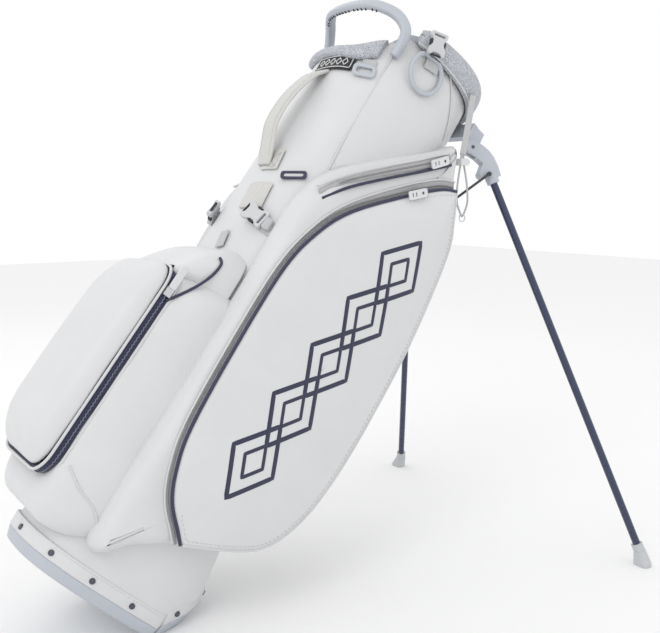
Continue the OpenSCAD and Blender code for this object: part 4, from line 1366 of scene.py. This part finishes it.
def make_buckles():
    make_buckle("shoulder_buckle_right", "buckle_right", -141.5, 524, 2.6, -100, "buckle_right")
    make_buckle("shoulder_buckle_left", "buckle_left", 141.5, 524, 2.6, 100, "buckle_left")
    make_buckle("collar_buckle", "buckle_collar", -108, 888, 14.5, 20, "buckle_collar")
    for name, side, node in (("right", 1, ["strap_webbing"]), ("left", -1, [])):
        wall_patch(f"buckle_strap_{name}", dense(rounded_box(38, 20, 1.2), 50), 1.9, -129 * side, 519, 0.6,
                   -6 * side,
                   webbing_cloth, slot="webbing", replaces=node)
        wall_patch(f"buckle_loop_{name}", dense(rounded_box(11, 17.4, 3), 40), 7.0, -138.6 * side, 523, 1.0,
                   0,
                   webbing_cloth, 1.5, slot="webbing")
    slab("lower_tab", rounded_box(16, 27, 1.2), 2.0, on_wall(-174, 484, 1.0, 20), webbing_cloth,
         slot="webbing")
    slab("towel_ring_strap", rounded_box(24, 18, 1.2), 1.6, on_wall(-98, 852, 2.6, 12), webbing_cloth,
         slot="webbing")


PULL = [(-14, -6.2), (14, -6.2), (16.5, -4.6), (17.5, 0), (16.5, 4.6), (14, 6.2), (-14, 6.2),
        (-15.5, 4.8), (-15.5, -4.8)]


def make_pulls():
    low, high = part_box("upper_zip_pull")
    start, end = Vector((46, 0, 754)), Vector((-92, 0, 580))
    along = (end - start).normalized()
    centre = from_row((low + high) / 2)
    place = frame_at(centre + Vector((0, 0.6, 0)), -along, (0, -1, 0))
    slots = [rounded_box_at(-8.4, 0, 2.2, 6, 1), rounded_box_at(-2.4, 0, 2.2, 6, 1),
             rounded_box_at(9.5, 0, 4.4, 4.4, 2)]
    slab("upper_pull_tab", PULL, 2.2, place, white_plastic, "upper_pull", holes=slots, round_mm=0.6,
         slot="white_plastic", replaces=["upper_zip_pull"])
    low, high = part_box("lower_zip_slider")
    centre = from_row((low + high) / 2)
    along = Vector((-97, 0, -105)).normalized()
    place = frame_at(centre + along * 14 + Vector((0, -3.2, 0)), -along, (0, -1, 0))
    slab("lower_pull_tab", PULL, 2.0, place, white_plastic, "lower_slider", holes=slots, round_mm=0.6,
         slot="white_plastic")
    low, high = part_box("ball_zip_pull")
    centre = from_row((low + high) / 2)
    place = frame_at(centre + Vector((0, 1, 0)), (0, 0, 1), (0, -1, 0))
    slab("ball_pull_tab", [(x, y * 0.8) for x, y in PULL], 2.0, place, white_plastic, "ball_pull",
         round_mm=0.6,
         slot="white_plastic", replaces=["ball_zip_pull"])


# ---- Back pad and the tops of the dividers

def make_hip_pad():
    sections = [(91.5, 45, 302, 638, 20), (96, 46.5, 299, 641, 22), (102, 44.5, 302, 638, 24),
                (106, 37, 312, 628, 24),
                (107.5, 22, 340, 600, 16), (108, 6, 400, 540, 4)]
    rows = box_rows(sections)
    for row in rows:
        for i, p in enumerate(row):
            channel = math.cos((p.z - 470) / 42 * math.pi) ** 8
            row[i] = Vector((p.x - 3.0 * channel * ease((p.x - 98) / 6), p.y, p.z))
    points, faces = grid(rows, caps=False)
    faces.append(tuple(len(points) - len(rows[0]) + i for i in range(len(rows[0]))))
    obj = mesh_piece("hip_pad_mesh", points, faces, mesh_cloth, slot="mesh_pad", replaces=["hip_pad"])
    subdivide(obj)


def make_divider_tops():
    """Padded edges along the tops of the divider's two sheets."""
    for name, a, b in (("long", (-122, 0, 812), (76, 0, 846)), ("cross", (-28, -84, 828), (-28, 84, 828))):
        path = even(curve_through([a, Vector(a).lerp(Vector(b), 0.5) + Vector((0, 0, -3)), b], 20), 60)
        across = (0, 1, 0) if name == "long" else (1, 0, 0)
        rows = sweep(path, across, 13, 16, 16, 2.4)
        mesh_piece(f"divider_top_{name}", *grid(rows), mesh_cloth, slot="mesh_pad")


# ---- Floor and light

def make_studio():
    data = bpy.data.meshes.new("floor")
    size = 6
    data.from_pydata([(-size, -size, 0), (size, -size, 0), (size, size, 0), (-size, size, 0)], [],
                     [(0, 1, 2, 3)])
    floor = bpy.data.objects.new("floor", data)
    bpy.context.scene.collection.objects.link(floor)
    material, _, shader = new_material("studio_floor", (0.9, 0.9, 0.9), 0.9)
    shader.inputs["Specular IOR Level"].default_value = 0.1
    data.materials.append(material)
    world_data = bpy.data.worlds.new("studio")
    world_data.use_nodes = True
    world_data.node_tree.nodes["Background"].inputs["Color"].default_value = (1, 1, 1, 1)
    world_data.node_tree.nodes["Background"].inputs["Strength"].default_value = 1.0
    bpy.context.scene.world = world_data
    bpy.context.scene.view_settings.view_transform = "Standard"
    for name, place, size, power in (("key", (-1.6, -1.2, 2.2), 1.2, 13),
                                     ("fill", (1.8, -1.6, 1.4), 1.8, 1),
                                     ("back", (0.4, 1.8, 2.0), 1.8, 4)):
        light = bpy.data.lights.new(name, "AREA")
        light.size = size
        light.energy = power
        lamp = bpy.data.objects.new(name, light)
        lamp.location = place
        lamp.rotation_euler = (CAMERA_TARGET - Vector(place)).to_track_quat("-Z", "Y").to_euler()
        bpy.context.scene.collection.objects.link(lamp)


make_camera()
make_umbrella_cord()
dress_kept_nodes()
make_base()
make_skirt()
make_body()
make_collar()
make_carry_handle()
for pocket_name, pocket_side in (("right", -1), ("left", 1)):
    make_side_pocket(pocket_name, pocket_side)
    make_leaf(pocket_name, pocket_side)
    make_side_zips(pocket_name, pocket_side)
    make_motif(pocket_name, pocket_side)
make_ball_pocket()
make_ball_door()
make_valuables_pocket()
make_lower_seams()
make_grab_handle()
make_patches()
make_buckles()
make_pulls()
make_hip_pad()
make_divider_tops()
make_studio()
